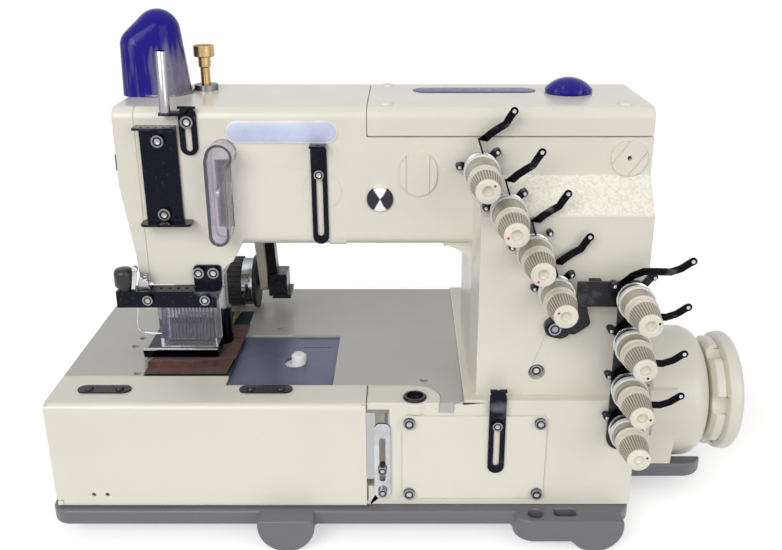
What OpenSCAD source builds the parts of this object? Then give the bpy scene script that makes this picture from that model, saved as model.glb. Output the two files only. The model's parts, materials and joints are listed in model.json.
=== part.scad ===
// Flat-bed multi-needle chainstitch machine for setting waistbands.
// Machine datum: x = 0 at the left end of the bed, y = 0 at the front face of
// the bed, z = 0 on top of the cloth plate. place() shifts everything so that
// the row's origin is under the middle of the machine, on the floor.

/* [Bed] */
// Length of the cloth plate, from the left end to the column
plate_l = 300; // [280:1:330]
// Depth of the bed, front to back
bed_d = 221; // [205:1:240]
// Height of the bed casting below the cloth plate
bed_h = 86; // [80:1:100]
// Thickness of the cloth plate
plate_t = 8; // [7:0.5:9]
// Wall of the bed casting
bed_wall = 9; // [8:0.5:12]
// Length of the hinged front cover
front_l = 230; // [215:1:240]
// Depth of the front cover's top flange
flange_d = 45; // [40:1:50]
// Sheet thickness of the front cover
cover_t = 2.5; // [2:0.5:3]

/* [Base] */
// Thickness of the base frame
base_t = 12; // [10:1:16]
// Height of the half-round feet under the bed
foot_h = 26; // [24:1:32]
// How far the feet stand out in front of and behind the bed
foot_out = 18; // [15:1:22]
// Radius of the holes for the hold-down bolts
bolt_r = 5.5; // [4.5:0.5:6.5]

/* [Arm and column] */
// Height of the arm's top above the cloth plate
arm_top = 205; // [195:1:225]
// Clear height under the arm
throat_h = 108; // [95:1:115]
// Depth of the arm, front to back
arm_d = 102; // [98:1:115]
// Setback of the arm's front face from the bed's front face
arm_y = 33; // [30:1:40]
// Setback of the column's lower front face
column_y = 12; // [8:1:16]
// Width of the column and the bed under it
column_l = 125; // [118:1:135]
// Wall of the arm casting
arm_wall = 8; // [7:0.5:10]
// Height of the top cover
lid_h = 20; // [16:1:24]

/* [Head] */
// Position of the needle bar along the bed
needle_x = 86; // [85:0.5:87]
// Position of the needle line across the bed
needle_y = 100; // [97:0.5:103]
// Number of needles
needle_n = 12; // [4:1:12]
// Distance between needles
needle_pitch = 2.8; // [2:0.1:3]
// Radius of the needle bar
needle_bar_r = 5.5; // [4.5:0.5:6]
// Half of the needle bar's stroke
half_stroke = 15; // [12:0.5:15]
// Radius of the presser bar
presser_bar_r = 4.5; // [4:0.5:5]

/* [Drive] */
// Radius of the main shaft
shaft_r = 9; // [8:0.5:11]
// Radius of the handwheel
wheel_r = 49; // [42:1:52]
// Radius of the pulley housing
housing_r = 54; // [52:1:58]
// Radius of the puller roller
puller_r = 22; // [18:1:22]
// Radius of the rocker shaft in the arm
rocker_r = 8; // [6:0.5:9]

/* [Thread tensions] */
// Radius of the tension knobs' skirt
knob_r = 11.4; // [10:0.2:12]
// Length of a tension knob
knob_l = 27; // [22:1:30]
// Number of flutes on a tension knob
knob_flutes = 26; // [18:1:32]
// Radius of the tension posts
post_r = 3; // [2.5:0.1:3.5]
// Radius of the tension discs
disc_r = 12; // [11:0.5:12.5]

/* [Hidden] */
$fn = 48;

// paint and metal colours
cream = [0.87, 0.85, 0.79];
grey_paint = [0.42, 0.43, 0.47];
steel = [0.75, 0.76, 0.78];
dark_steel = [0.13, 0.13, 0.15];
slide_blue = [0.36, 0.38, 0.47];
clear_blue = [0.13, 0.11, 0.6, 0.7];
clear = [0.85, 0.85, 0.9, 0.35];
gold = [0.83, 0.62, 0.3];
knob_beige = [0.82, 0.78, 0.7];
white = [0.95, 0.95, 0.95];
black = [0.06, 0.06, 0.07];
rubber = [0.09, 0.09, 0.1];

// running and seating clearances
run = 0.05;         // shaft in its bore, on the radius
seat = 0.3;         // pieces on different bodies that lie together

// tension stations: [x, z, face y, distance from the face to the knob's front]
tensions = [
    [plate_l + 9, 164.5, arm_y - 4, 58],
    [plate_l + 26, 141.1, column_y, 56],
    [plate_l + 44.5, 113.4, column_y, 51],
    [plate_l + 61, 83.6, column_y, 48],
    [plate_l + 112, 83.2, -1, 49],
    [plate_l + 112.3, 50.5, -1, 46],
    [plate_l + 113.5, 15.7, -1, 46],
    [plate_l + 114.6, -16.8, -1, 45]];

// overall extents, which set the origin
column_r = plate_l + column_l;
base_left = -5;
base_right = column_r;
wheel_w = 24;
wheel_x = column_r + 78;
wheel_end = wheel_x + wheel_w;
// front and back limits: the longest tension knob and the rear feet
rear_out = bed_d + foot_out;
front_out = min([for (t = tensions) t[2] - t[3]]);
mid_x = (base_left + wheel_end) / 2;
mid_y = (front_out + rear_out) / 2;
floor_z = -bed_h - foot_h;

// arm and head
arm_back = arm_y + arm_d;
seam_x = 77;                       // joint of the head and its face cover
head_left = 62;                    // outer face of the face cover
head_bottom = throat_h - 29;
head_right = 127;
lid_x = 232;
lid_z = arm_top - lid_h;
throat_x = plate_l + 5;            // column's face inside the throat
corner_r = 8;                      // rounding of the arm's long edges
bulge_top = 159;                   // where the column starts to swell forward
bulge_low = bulge_top - 23;
bulge_x = plate_l + 9;

// mechanism
main_y = 110;
main_z = -46;
rod_x = column_r - 63;             // plane of the connecting rod
rod_t = 12;
rocker_y = 60;
rocker_z = 143;
front_lever = needle_y - rocker_y; // rocker's front lever, axis to stud
rear_lever = 22;                   // rocker's rear lever, axis to pin
rear_pin_y = rocker_y + rear_lever;
throw = half_stroke * rear_lever / front_lever; // crank of the main shaft
crank_y = main_y - throw;
pin_r = 7;                         // crank pin
looper_y = 72;
looper_z = -44;
looper_r = 6;
clamp_x = [needle_at(0) - 3, needle_at(needle_n - 1) + 3];
shank_r = 6.5;                     // shank of the presser foot
presser_x = max(clamp_x[1] + 1.2 + shank_r, needle_x + 26);
presser_y = 104;
puller_y = 182;
puller_z = puller_r + 1.5;
pivot_y = arm_back + 17;           // pivot of the puller arm
pivot_z = 142;

ring_at = 8.5;                     // nylon ring's back face above the station's face

// ---------------------------------------------------------------- helpers

// shift from the machine datum to the row's origin
function needle_at(i) = needle_x + (i - (needle_n - 1) / 2) * needle_pitch;

module place() translate([-mid_x, -mid_y, -floor_z]) children();

// box from its two corners
module block(a, b) translate(a) cube(b - a);

// draw in x and z, extrude from y = a to y = b
module xz(a, b) translate([0, b, 0]) rotate([90, 0, 0]) linear_extrude(b - a) children();

// draw in y and z, extrude from x = a to x = b
module yz(a, b) translate([a, 0, 0]) rotate([90, 0, 90]) linear_extrude(b - a) children();

// draw in x and y, extrude from z = a to z = b
module xy(a, b) translate([0, 0, a]) linear_extrude(b - a) children();

// cylinder along x, y or z between two coordinates
module rod_along_x(a, b, y, z, r) translate([a, y, z]) rotate([0, 90, 0]) cylinder(h = b - a, r = r);
module rod_along_y(a, b, x, z, r) translate([x, b, z]) rotate([90, 0, 0]) cylinder(h = b - a, r = r);
module rod_along_z(a, b, x, y, r) translate([x, y, a]) cylinder(h = b - a, r = r);

// rectangle with round corners, given by its corners
module round_rect(a, b, r) {
    translate([a.x + r, a.y]) square([b.x - a.x - 2 * r, b.y - a.y]);
    translate([a.x, a.y + r]) square([b.x - a.x, b.y - a.y - 2 * r]);
    for (x = [a.x + r, b.x - r], y = [a.y + r, b.y - r]) translate([x, y]) circle(r);
}

// strip of width w through the points p, with round ends; slanted sides lie
// just inside the circles, because exactly tangent ones leave open meshes
module strip(p, w) {
    for (q = p) translate(q) circle(w / 2);
    for (i = [0:len(p) - 2]) {
        d = p[i + 1] - p[i];
        side = d.x == 0 || d.y == 0 ? w : w - 0.04;
        translate(p[i]) rotate(atan2(d.y, d.x)) translate([0, -side / 2]) square([norm(d), side]);
    }
}

// points of an arc round c, from angle a0 to a1
function arc(c, r, a0, a1, n = 10) =
    [for (i = [0:n]) c + r * [cos(a0 + (a1 - a0) * i / n), sin(a0 + (a1 - a0) * i / n)]];

// ---------------------------------------------------------------- base and bed

foot_x = [171, column_r - 28];               // middles of the feet along the bed
foot_r = 21;
lug_x = [column_r - 87, column_r - 11];                // corner lugs under the column
bolt_x = column_r - 71;
seat_z = -bed_h;                   // top face of the base
base_z = seat_z - base_t;
wing_x = wheel_x - 4;              // right end of the base beside the handwheel
wing_y = main_y - housing_r + 2;

module base_frame() color(grey_paint) difference() {
    union() {
        xy(base_z, seat_z) {
            round_rect([base_left, -5], [base_right, bed_d + 7], 14);
            round_rect([base_right - 40, wing_y], [wing_x, bed_d + 7], 18);
            translate([base_right, wing_y - 12]) difference() {
                translate([-1, 0]) square([13, 13]);
                translate([12, 0]) circle(12);
            }
        }
        for (y = [-foot_out, bed_d - 20])
            xy(base_z - 6, seat_z) round_rect([lug_x[0], y], [lug_x[1], y + foot_out + 20], 15);
        intersection() {
            union() {
                for (x = foot_x, y = [-foot_out, bed_d - 12])
                    rod_along_y(y, y + foot_out + 12, x, floor_z + foot_r - 0.7, foot_r);
                block([foot_x[0] - 14, -5, base_z - 6], [foot_x[0] + 14, bed_d + 7, base_z]);
            }
            block([foot_x[0] - foot_r, -foot_out, floor_z], [foot_x[1] + foot_r, rear_out, seat_z]);
        }
    }
    // open middle of the frame
    xy(floor_z - 1, seat_z + 1) {
        round_rect([24, 26], [foot_x[0] + 94, bed_d - 22], 12);
        round_rect([foot_x[0] + 108, 26], [column_r - 26, bed_d - 22], 12);
    }
    // fork round the belt and the bottom of the pulley housing
    block([column_r - 1, main_y - 39, floor_z - 1], [wing_x + 1, main_y + 39, seat_z + 1]);
    // hold-down bolts and the cored pockets beside them
    for (y = [-foot_out + 11, bed_d + 7]) {
        rod_along_z(floor_z - 1, seat_z + 1, bolt_x, y, bolt_r);
        xy(base_z + 3, seat_z + 1) round_rect([bolt_x + 14, y - 3], [bolt_x + 30, y + 6], 2);
    }
}

cover_gap = 0.4;
front_x = front_l + 0.5;           // casting's face beside the front cover
deck_y = 30.5;                     // plate's front edge right of the slide plate
slide_x = [125.5, 204.5];
slide_y = [30.5, 118];
gauge = [(front_x + plate_l) / 2 - 0.25, 11];
gauge_r = 7.5;
gauge_h = 8;                       // depth of the oil sight
gauge_boss = 19;

module plate_outline() difference() {
    union() {
        translate([0, flange_d + cover_gap]) square([slide_x[0], bed_d - flange_d - cover_gap]);
        translate([slide_x[0] - 1, slide_y[1]]) square([plate_l - slide_x[0] + 1, bed_d - slide_y[1]]);
        translate([slide_x[1], deck_y]) square([plate_l - slide_x[1], bed_d - deck_y]);
        round_rect([gauge.x, 3], [plate_l, deck_y + 20], 8);
    }
    translate(gauge) circle(gauge_boss);
    translate([0, -1]) square([gauge.x, deck_y + 1]);
}

side_gap = 9;                      // height of the oil sight's boss over the side plate
hinge_y = cover_t;
hinge_z = seat_z + cover_t + 0.3;
hinge_r = 1.5;
side_x = [front_x + 25.5, front_x + 129.5];
window_x = side_x + [12, -12];     // opening behind the side plate
side_z = [-79, -10];
rib_x = [150, 236, 296, column_r - 41];
rib_t = 8;

module bed_shell() {
    // left part, behind the front cover
    block([0, 5, seat_z], [front_x + 1, bed_d, -plate_t]);
    // front ends of the casting and its deck round the oil sight
    difference() {
        block([front_x, 3, seat_z], [plate_l + 8, bed_d, 0]);
        xy(-plate_t, 1) plate_outline();
        block([front_x - 1, deck_y + gauge_boss + 20, -plate_t], [plate_l, bed_d + 1, 1]);
    }
    rod_along_z(-side_gap, 0, gauge.x, gauge.y, gauge_r + 3);
    // foot of the column
    block([plate_l, 3, seat_z], [column_r, bed_d, 2]);
}

module bed_casting() color(cream) difference() {
    union() {
        difference() {
            bed_shell();
            // hollow inside, open to the base
            block([bed_wall, 5 + bed_wall, seat_z - 1],
                  [column_r - bed_wall, bed_d - bed_wall, -plate_t - bed_wall]);
            // opening under the needle and slide plates
            block([40, 52, -40], [slide_x[1] + 2, 160, 1]);
            block([slide_x[0] - 3, deck_y + 4, -40], [slide_x[1] + 2, 60, 1]);
            // opening behind the front cover
            block([14, 0, -74], [front_l - 12, 30, -24]);
        }
        for (x = rib_x)
            block([x, 10, seat_z + 14], [x + rib_t, bed_d - 5, -plate_t - 5]);
        // cross rib of the looper shaft, bearing bosses
        for (x = [0, rib_x[0] - 4]) rod_along_x(x + 4, x + 16, looper_y, looper_z, 12);
        for (x = [bed_wall - 1, rib_x[1] - 4, column_r - bed_wall - 12])
            rod_along_x(x, x + 16, main_y, main_z, 19);
        // hinge ears of the front cover
        block([0, 0.3, hinge_z - 2], [4.7, 6, hinge_z + 1.8]);
        for (x = [[4, 12], [front_l - 8, front_x + 1]])
            rod_along_x(x[0], x[1], hinge_y, hinge_z, hinge_r);
    }
    // bores of the main and looper shafts' bushes
    rod_along_x(4, column_r + 1, main_y, main_z, shaft_r + 4);
    rod_along_x(4, rib_x[0] + 20, looper_y, looper_z, looper_r + 3);
    // crank and connecting rod
    block([rod_x - 26, main_y - 34, seat_z - 1], [rod_x + 26, main_y + 34, 3]);
    // opening of the side plate
    block([window_x[0], 2, -68], [window_x[1], 16, -20]);
    rod_along_y(40, bed_d - 19, feed_guide_x, feed_z - 11, 3);
    // recess of the latch plate
    block([front_x - 1, 2, -70], [front_x + 16, 18, -6]);
    // oil sight
    rod_along_z(-gauge_h, 1, gauge.x, gauge.y, gauge_r);
    screw_bores();
}

module bed_plate() color([0.72, 0.71, 0.68]) difference() {
    xy(-plate_t, 0) plate_outline();
    // seat of the needle plate and the opening below it
    xy(-np_t, 1) np_outline();
    block([np_x[0] + 4, np_y[0] + 24, -plate_t - 1], [np_x[1] - 8, np_y[1] - 10, 1]);
    // pocket that the slide plate moves into
    block([slide_x[1] - 1, slide_y[0] - 1, -6.2], [slide_x[1] + slide_travel + 1, slide_y[1], -slide_top + 0.3]);
    // plain and countersunk holes
    for (p = [[152.6, 132.4], [gauge.x + 7.1, 38], [40.5, 97.2], [42.9, 112.5], [np_x[0] - 5.5, np_y[0] + 4.2]])
        rod_along_z(-plate_t - 1, 1, p.x, p.y, 3);
}

np_x = [needle_x - 25.5, slide_x[0]];
np_y = [flange_d + cover_gap, needle_y + 68];
np_t = 3;
slide_top = 2;
slide_travel = 18;
slit_x = [needle_at(0) - 3, needle_at(needle_n - 1) + 3];
feed_travel = 2;
feed_rows = [needle_x - 16, needle_x - 5.5, needle_x + 5.5, needle_x + 16];
feed_y = [needle_y + 5, needle_y + 23];
feed_z = -12;
feed_guide_x = 118;                // rod that guides the feed bar

module np_outline() translate([np_x[0], np_y[0]]) square([np_x[1] - np_x[0], np_y[1] - np_y[0]]);

module needle_plate() color([0.1, 0.2, 0.22]) difference() {
    xy(-np_t, 0) np_outline();
    // one hole for each needle
    for (i = [0:needle_n - 1]) rod_along_z(-np_t - 1, 1, needle_at(i), needle_y, 1.1);
    // slots of the feed dog
    for (x = feed_rows)
        block([x - 2.5, feed_y[0] - feed_travel - 0.5, -np_t - 1], [x + 2.5, feed_y[1] + feed_travel + 0.5, 1]);
}

module slide_plate() color(slide_blue) difference() {
    block([slide_x[0] + seat, slide_y[0] + seat, -slide_top - 2], [slide_x[1] - seat, slide_y[1] - seat, -slide_top]);
    rod_along_z(-9, 1, 172.5, 72, 9);
    block([176, 98, -9], [slide_x[1] - 6, 99.2, 1]);
}

module slide_button() color(white) {
    rod_along_z(-slide_top - 3.2, 3.5, 175, 73, 5.8);
    translate([175, 73, 3.5]) cylinder(h = 1.5, r1 = 5.8, r2 = 4.3);
    block([150, 64, -slide_top - 3.2], [186, 82, -slide_top - 2]);
}

module front_cover() color(cream) difference() {
    union() {
        // panel with a rolled lower edge, and the top flange
        yz(0, front_l) {
            translate([hinge_y, hinge_z]) circle(cover_t);
            translate([0, hinge_z]) square([cover_t, -hinge_z - 5]);
            translate([5, -cover_t]) square([slide_y[0] - 5 - seat, cover_t]);
            intersection() {
                translate([0, -5]) square(5);
                difference() {
                    translate([5, -5]) circle(5);
                    translate([5, -5]) circle(5 - cover_t);
                }
            }
        }
        block([0, slide_y[0] - 1, -cover_t], [slide_x[0] - seat, flange_d, 0]);
        // end plates
        for (x = [0, front_l - cover_t]) block([x, cover_t - 1, hinge_z + 8], [x + cover_t, 4.6, -1]);
    }
    // bores for the hinge pins
    block([-1, -1, seat_z - 1], [5, 8, hinge_z + 3.3]);
    rod_along_x(-1, 13, hinge_y, hinge_z, hinge_r + run);
    rod_along_x(front_l - 9, front_l + 1, hinge_y, hinge_z, hinge_r + run);
    // small holes
    for (x = [28, 38]) rod_along_y(-1, 4, x, -75.4, 1.6);
    for (x = catch_x) rod_along_z(-9, 1, x, 22.4, 2);
    for (x = catch_x) rod_along_z(-9, 1, x + 22, 22.4, 2);
}

catch_x = [27, 145.2];

module catch_plates() color(dark_steel) for (x = catch_x) {
    xy(0, 1.2) strip([[x - 3, 22.4], [x + 25, 22.4]], 11);
    for (dx = [0, 22]) {
        rod_along_z(-5, 0, x + dx, 22.4, 2);
        translate([x + dx, 22.4, 1.2]) cylinder(h = 1.4, r1 = 3.4, r2 = 2.6);
    }
}

// ---------------------------------------------------------------- arm and head

// side view of the arm's section, long edges rounded
module arm_section(o = 0) round_rect([arm_y + o, throat_h + o], [arm_back - o, arm_top - o], max(corner_r - o, 1));

// front view of the head: concave curve down to the needle side
module head_front(x0) {
    polygon(concat(
        [[x0, head_bottom + 3], [x0 + 2, head_bottom]],
        [[head_right - 2.5, head_bottom]],
        arc([head_right + 17, head_bottom + 2], 17, 180, 115, 6),
        [[head_right + 20, throat_h + corner_r + 1], [x0, throat_h + corner_r + 1]]));
}

// plan and side view of the column, which swells forward below the arm
column_plan = [[throat_x, arm_y], [bulge_x, column_y], [column_r, column_y],
    [column_r, arm_back], [throat_x, arm_back]];
column_side = [[arm_y, bulge_top], [column_y, bulge_low], [column_y, 2], [arm_back, 2], [arm_back, bulge_top]];
arm_rib_x = 205;
pivot_x = [118, 142];              // lugs of the puller arm's pivot

module arm_shell() difference() {
    union() {
        yz(seam_x, column_r) arm_section();
        xz(arm_y, arm_back) head_front(seam_x);
        intersection() {
            xy(2, bulge_top) polygon(column_plan);
            yz(throat_x, column_r) polygon(column_side);
        }
        // round corner of the throat
        xz(arm_y, arm_back) difference() {
            translate([throat_x - 20, throat_h - 20]) square([24, 21]);
            translate([throat_x - 20, throat_h - 20]) circle(20);
        }
        for (x = pivot_x) hull() {
            rod_along_x(x, x + 8, pivot_y, pivot_z, 9);
            block([x, arm_back - 1, pivot_z - 14], [x + 8, arm_back, pivot_z + 14]);
        }
    }
    // right part of the top, taken by the cover
    block([lid_x, arm_y - 1, lid_z], [column_r + 1, arm_back + 1, arm_top + 1]);
    // hollow of the arm, open upwards under the cover
    yz(seam_x - 1, column_r - arm_wall)
        round_rect([arm_y + arm_wall, throat_h + arm_wall], [arm_back - arm_wall, arm_top - arm_wall], 4);
    block([lid_x + arm_wall, arm_y + arm_wall, throat_h + arm_wall],
          [column_r - arm_wall, arm_back - arm_wall, arm_top]);
    // hollow of the head and of the column
    block([seam_x - 1, arm_y + arm_wall, head_bottom + arm_wall],
          [head_right - arm_wall, arm_back - arm_wall, throat_h + arm_wall + 1]);
    block([bulge_x + arm_wall, arm_y + arm_wall, 1],
          [column_r - arm_wall, arm_back - arm_wall, throat_h + arm_wall + 1]);
}

module arm_casting() color(cream) difference() {
    union() {
        arm_shell();
        // rib that carries the rocker shaft's left bush
        block([arm_rib_x, arm_y + 1, throat_h + 1], [arm_rib_x + 12, arm_back - 1, lid_z - 2]);
    }
    rod_along_x(arm_rib_x - 1, arm_rib_x + 13, rocker_y, rocker_z, rocker_r + 3);
    rod_along_x(column_r - arm_wall - 1, column_r + 1, rocker_y, rocker_z, rocker_r + 3);
    // bores of the needle bar, presser bar and pressure screw
    rod_along_z(head_bottom - 1, arm_top + 1, needle_x, needle_y, needle_bar_r + 3);
    rod_along_z(head_bottom - 1, head_bottom + arm_wall + 1, presser_x, presser_y, presser_bar_r + 3);
    rod_along_z(arm_top - arm_wall - 1, arm_top + 1, presser_x, presser_y, screw_r + run);
    // pivot of the puller arm
    rod_along_x(pivot_x[0] - 1, pivot_x[1] + 9, pivot_y, pivot_z, 4 + run);
    // openings behind the three plugs in the front
    rod_along_y(arm_y - 1, arm_y + arm_wall + 1, plug_x[0], plug_z[0], 8);
    rod_along_y(arm_y - 1, arm_y + arm_wall + 1, plug_x[1], plug_z[1], 10);
    rod_along_y(arm_y - 1, arm_y + arm_wall + 1, plug_x[2], plug_z[2], 10);
    // slot of the take-up lever
    block([takeup_x - 3, arm_y - 1, 122], [takeup_x + 7.5, arm_y + arm_wall + 1, 170]);
    // sunk screw low on the column
    rod_along_y(column_y - 1, column_y + 5, sunk_x, 20, 6);
    // bore of the release lever's pin
    rod_along_y(column_y - 1, column_y + 10, release_at.x, release_at.y, 3);
    // lifting lever's shaft
    rod_along_x(column_r - arm_wall - 1, column_r + 1, lift_y, lift_z, lift_r + run);
    screw_bores();
    post_bores();
}

screw_r = 3.5;
lift_r = 6;
plug_x = [lid_x + 8.7, lid_x + 35, column_r - 15.5];
plug_z = [142.1, 160, 171];
takeup_x = 132;
lift_y = 118;
lift_z = 140;

module top_cover() color(cream) difference() {
    intersection() {
        yz(lid_x + 0.2, column_r) arm_section();
        block([lid_x, arm_y - 1, lid_z + 0.4], [column_r, arm_back + 1, arm_top + 1]);
    }
    // hollow underside
    block([lid_x + 7, arm_y + 7, lid_z - 1], [column_r - 7, arm_back - 7, arm_top - 5]);
    // seat of the oil dome
    rod_along_z(arm_top - 6, arm_top + 1, dome.x, dome.y, 12);
}
dome = [column_r - 49, 92];

module face_cover() color(cream) difference() {
    union() {
        yz(head_left, seam_x) arm_section();
        xz(arm_y, arm_back) polygon(concat(
            [[seam_x, throat_h + corner_r + 1], [head_left, throat_h + corner_r + 1]],
            arc([head_left + 16, head_bottom + 18], 16, 180, 240, 4),
            [[seam_x, head_bottom]]));
    }
    // narrower towards the needles
    xz(arm_y - 1, arm_back + 1) polygon([[head_left - 1, 150], [head_left, 150], [head_left + 6.5, throat_h - 8],
        [head_left + 7.5, head_bottom - 1], [head_left - 1, head_bottom - 1]]);
    // hollow side towards the head
    block([head_left + 5, arm_y + arm_wall, 148], [seam_x + 1, arm_back - arm_wall, arm_top - arm_wall]);
    block([head_left + 10, arm_y + arm_wall, throat_h - 5], [seam_x + 1, arm_back - arm_wall, 149]);
    block([head_left + 12, arm_y + arm_wall, head_bottom + 12], [seam_x + 1, arm_back - arm_wall, throat_h]);
}

// ---------------------------------------------------------------- drive

web_r = throw + pin_r + 3;

module main_shaft() color(steel) {
    rod_along_x(5, rod_x - rod_t / 2 - 1, main_y, main_z, shaft_r);
    rod_along_x(rod_x + rod_t / 2 + 1, wheel_x + wheel_w - 14, main_y, main_z, shaft_r);
    // belt pulley inside the housing
    translate([column_r + 12, main_y, main_z]) rotate([0, 90, 0]) rotate_extrude()
        polygon([[shaft_r - 1, 0], [37, 0], [37, 3], [28, 6], [28, 12], [37, 15], [37, 18], [shaft_r - 1, 18]]);
    // crank with its two webs
    for (s = [-1, 1]) translate([rod_x + s * (rod_t / 2 + 6), 0, 0])
        rod_along_x(-5, 5, main_y, main_z, web_r);
    rod_along_x(rod_x - rod_t / 2 - 2, rod_x + rod_t / 2 + 2, crank_y, main_z, pin_r);
    // collars beside the bearings
    for (x = [rib_x[1] - 12, column_r - 30]) rod_along_x(x, x + 7, main_y, main_z, shaft_r + 5);
}

bush_x = [bed_wall - 1, rib_x[1] - 4, column_r - bed_wall - 12];

module bush_along_x(a, b, y, z, r, t) difference() {
    rod_along_x(a, b, y, z, r + t);
    rod_along_x(a - 1, b + 1, y, z, r + run);
}

module bush_along_z(a, b, x, y, r, t) difference() {
    rod_along_z(a, b, x, y, r + t);
    rod_along_z(a - 1, b + 1, x, y, r + run);
}

module main_bearings() color([0.72, 0.55, 0.3]) {
    for (x = bush_x) bush_along_x(x, x + 16, main_y, main_z, shaft_r, 4);
    for (x = [4, rib_x[0]]) bush_along_x(x, x + 12, looper_y, looper_z, looper_r, 3);
    bush_along_x(column_r - arm_wall - 6, column_r, rocker_y, rocker_z, rocker_r, 3);
    bush_along_x(arm_rib_x - 2, arm_rib_x + 14, rocker_y, rocker_z, rocker_r, 3);
    // guide rod of the feed bar
    rod_along_y(40, bed_d - 19, feed_guide_x, feed_z - 11, 3);
    bush_along_z(head_bottom - 4, head_bottom + 18, needle_x, needle_y, needle_bar_r, 3);
    bush_along_z(arm_top - 18, arm_top + 1, needle_x, needle_y, needle_bar_r, 3);
    bush_along_z(head_bottom - 3, head_bottom + arm_wall + 1, presser_x, presser_y, presser_bar_r, 3);
}

module connecting_rod() color(steel) difference() {
    union() {
        rod_along_x(rod_x - rod_t / 2, rod_x + rod_t / 2, crank_y, main_z, pin_r + 5);
        rod_along_x(rod_x - rod_t / 2, rod_x + rod_t / 2, rear_pin_y, rocker_z, 9);
        yz(rod_x - 4, rod_x + 4) strip([[crank_y, main_z], [rear_pin_y, rocker_z]], 10);
    }
    rod_along_x(rod_x - rod_t, rod_x + rod_t, crank_y, main_z, pin_r + run);
    rod_along_x(rod_x - rod_t, rod_x + rod_t, rear_pin_y, rocker_z, 5);
}

module handwheel() color(cream) difference() {
    union() {
        translate([wheel_x, main_y, main_z]) rotate([0, 90, 0]) rotate_extrude($fn = 96) polygon(concat(
            [[shaft_r + run + 3, 0], [wheel_r - 9, 0], [wheel_r - 4, 3], [wheel_r - 4, 9.5],
             [wheel_r - 6, 10.5], [wheel_r - 1, 12]],
            arc([wheel_r - 6, wheel_w - 6], 6, 0, 90, 6),
            [[wheel_r - 11, wheel_w], [wheel_r - 13, wheel_w - 5], [20, wheel_w - 7], [18, wheel_w - 4],
             [shaft_r + run + 3, wheel_w - 4]]));
        rod_along_x(wheel_x - 8, wheel_x + wheel_w - 6, main_y, main_z, 17);
    }
    // bore, and the notches of the inner flange
    rod_along_x(wheel_x - 10, wheel_x + wheel_w - 14, main_y, main_z, shaft_r);
    for (a = [0:60:300]) translate([wheel_x - 1, main_y, main_z]) rotate([a + 20, 0, 0])
        translate([0, 0, wheel_r - 2]) rotate([0, 90, 0]) cylinder(h = 12, r = 8);
}

module pulley_housing() color(cream) difference() {
    union() {
        translate([column_r, main_y, main_z]) rotate([0, 90, 0]) rotate_extrude($fn = 96) polygon(concat(
            [[0, 0], [housing_r - 8, 0], [housing_r - 7, 24], [housing_r, 27]],
            arc([housing_r - 16, wheel_x - column_r - 19], 16, 0, 90, 6),
            [[0, wheel_x - column_r - 3]]));
        // skirt that stands on the base, and the raised front pad
        block([column_r, wing_y, seat_z], [skirt_x, main_y + housing_r - 2, main_z]);
        block([column_r + 24, wing_y + 1, main_z - 10], [skirt_x, main_y, main_z + 26]);
    }
    // room for the pulley and the shaft
    rod_along_x(column_r - 1, wheel_x - 9, main_y, main_z, housing_r - 14);
    rod_along_x(column_r - 1, wheel_x, main_y, main_z, 21);
    block([column_r + 8, main_y - 42, seat_z - 1], [skirt_x - 8, main_y + 42, main_z]);
}

skirt_x = column_r + 46;           // right side of the housing's skirt

lever_x = needle_x + 12.3;         // left side of the rocker's front lever
lever_t = 5.4;

module rocker_shaft() color(steel) {
    rod_along_x(lever_x, column_r, rocker_y, rocker_z, rocker_r);
    // rear lever, whose pin ends beside the connecting rod's eye
    yz(rod_x + rod_t / 2 + 1.3, rod_x + rod_t / 2 + 12) difference() {
        strip([[rocker_y, rocker_z], [rear_pin_y, rocker_z]], 20);
        translate([rocker_y, rocker_z]) circle(rocker_r - 1);
    }
    rod_along_x(rod_x + rod_t / 2 + seat, rod_x + rod_t / 2 + 4, rear_pin_y, rocker_z, 5);
    // front lever, whose stud ends beside the needle bar's block
    yz(lever_x, lever_x + lever_t) strip([[rocker_y, rocker_z], [needle_y, rocker_z]], 16);
    rod_along_x(lever_x - 1, lever_x + 1, needle_y, rocker_z, 4);
}

module takeup_lever() color(steel) {
    difference() {
        rod_along_x(takeup_x - 6, takeup_x + 6, rocker_y, rocker_z, rocker_r + 3);
        rod_along_x(takeup_x - 7, takeup_x + 7, rocker_y, rocker_z, rocker_r);
    }
    yz(takeup_x - 1.2, takeup_x + 1.2) difference() {
        strip([[rocker_y - 12, rocker_z + 1], [arm_y + 2, rocker_z + 8], [arm_y - 9, rocker_z + 6]], 7);
        translate([rocker_y, rocker_z]) circle(rocker_r + 2);
        translate([arm_y - 9, rocker_z + 6]) circle(1.6);
    }
}

// ---------------------------------------------------------------- stitching parts

bar_top = arm_top + 14;
clamp_z = 44;
point_z = 4;

module needle_bar() color(steel) {
    rod_along_z(clamp_z + 4, bar_top, needle_x, needle_y, needle_bar_r);
    // driving block clamped round the bar
    difference() {
        block([needle_x - 9, needle_y - 9, rocker_z - 12], [lever_x - 1 - seat, needle_y + 9, rocker_z + 12]);
        rod_along_z(rocker_z - 13, rocker_z + 13, needle_x, needle_y, needle_bar_r);
    }
}

module needle_clamp() color(steel) difference() {
    union() {
        rod_along_z(clamp_z, clamp_z + 16, needle_x, needle_y, needle_bar_r + 4);
        xy(clamp_z - 6, clamp_z + 4)
            round_rect([clamp_x[0], needle_y - 6], [clamp_x[1], needle_y + 6], 2);
    }
    rod_along_z(clamp_z + 4, clamp_z + 17, needle_x, needle_y, needle_bar_r);
    for (i = [0:needle_n - 1]) rod_along_z(clamp_z - 7, clamp_z + 2, needle_at(i), needle_y, 0.8);
}

module needles() color(steel) for (i = [0:needle_n - 1]) {
    rod_along_z(clamp_z - 14, clamp_z + 2, needle_at(i), needle_y, 0.8);
    rod_along_z(point_z + 4, clamp_z - 13, needle_at(i), needle_y, 0.5);
    translate([needle_at(i), needle_y, point_z]) cylinder(h = 4.1, r1 = 0.1, r2 = 0.5);
}

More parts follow.
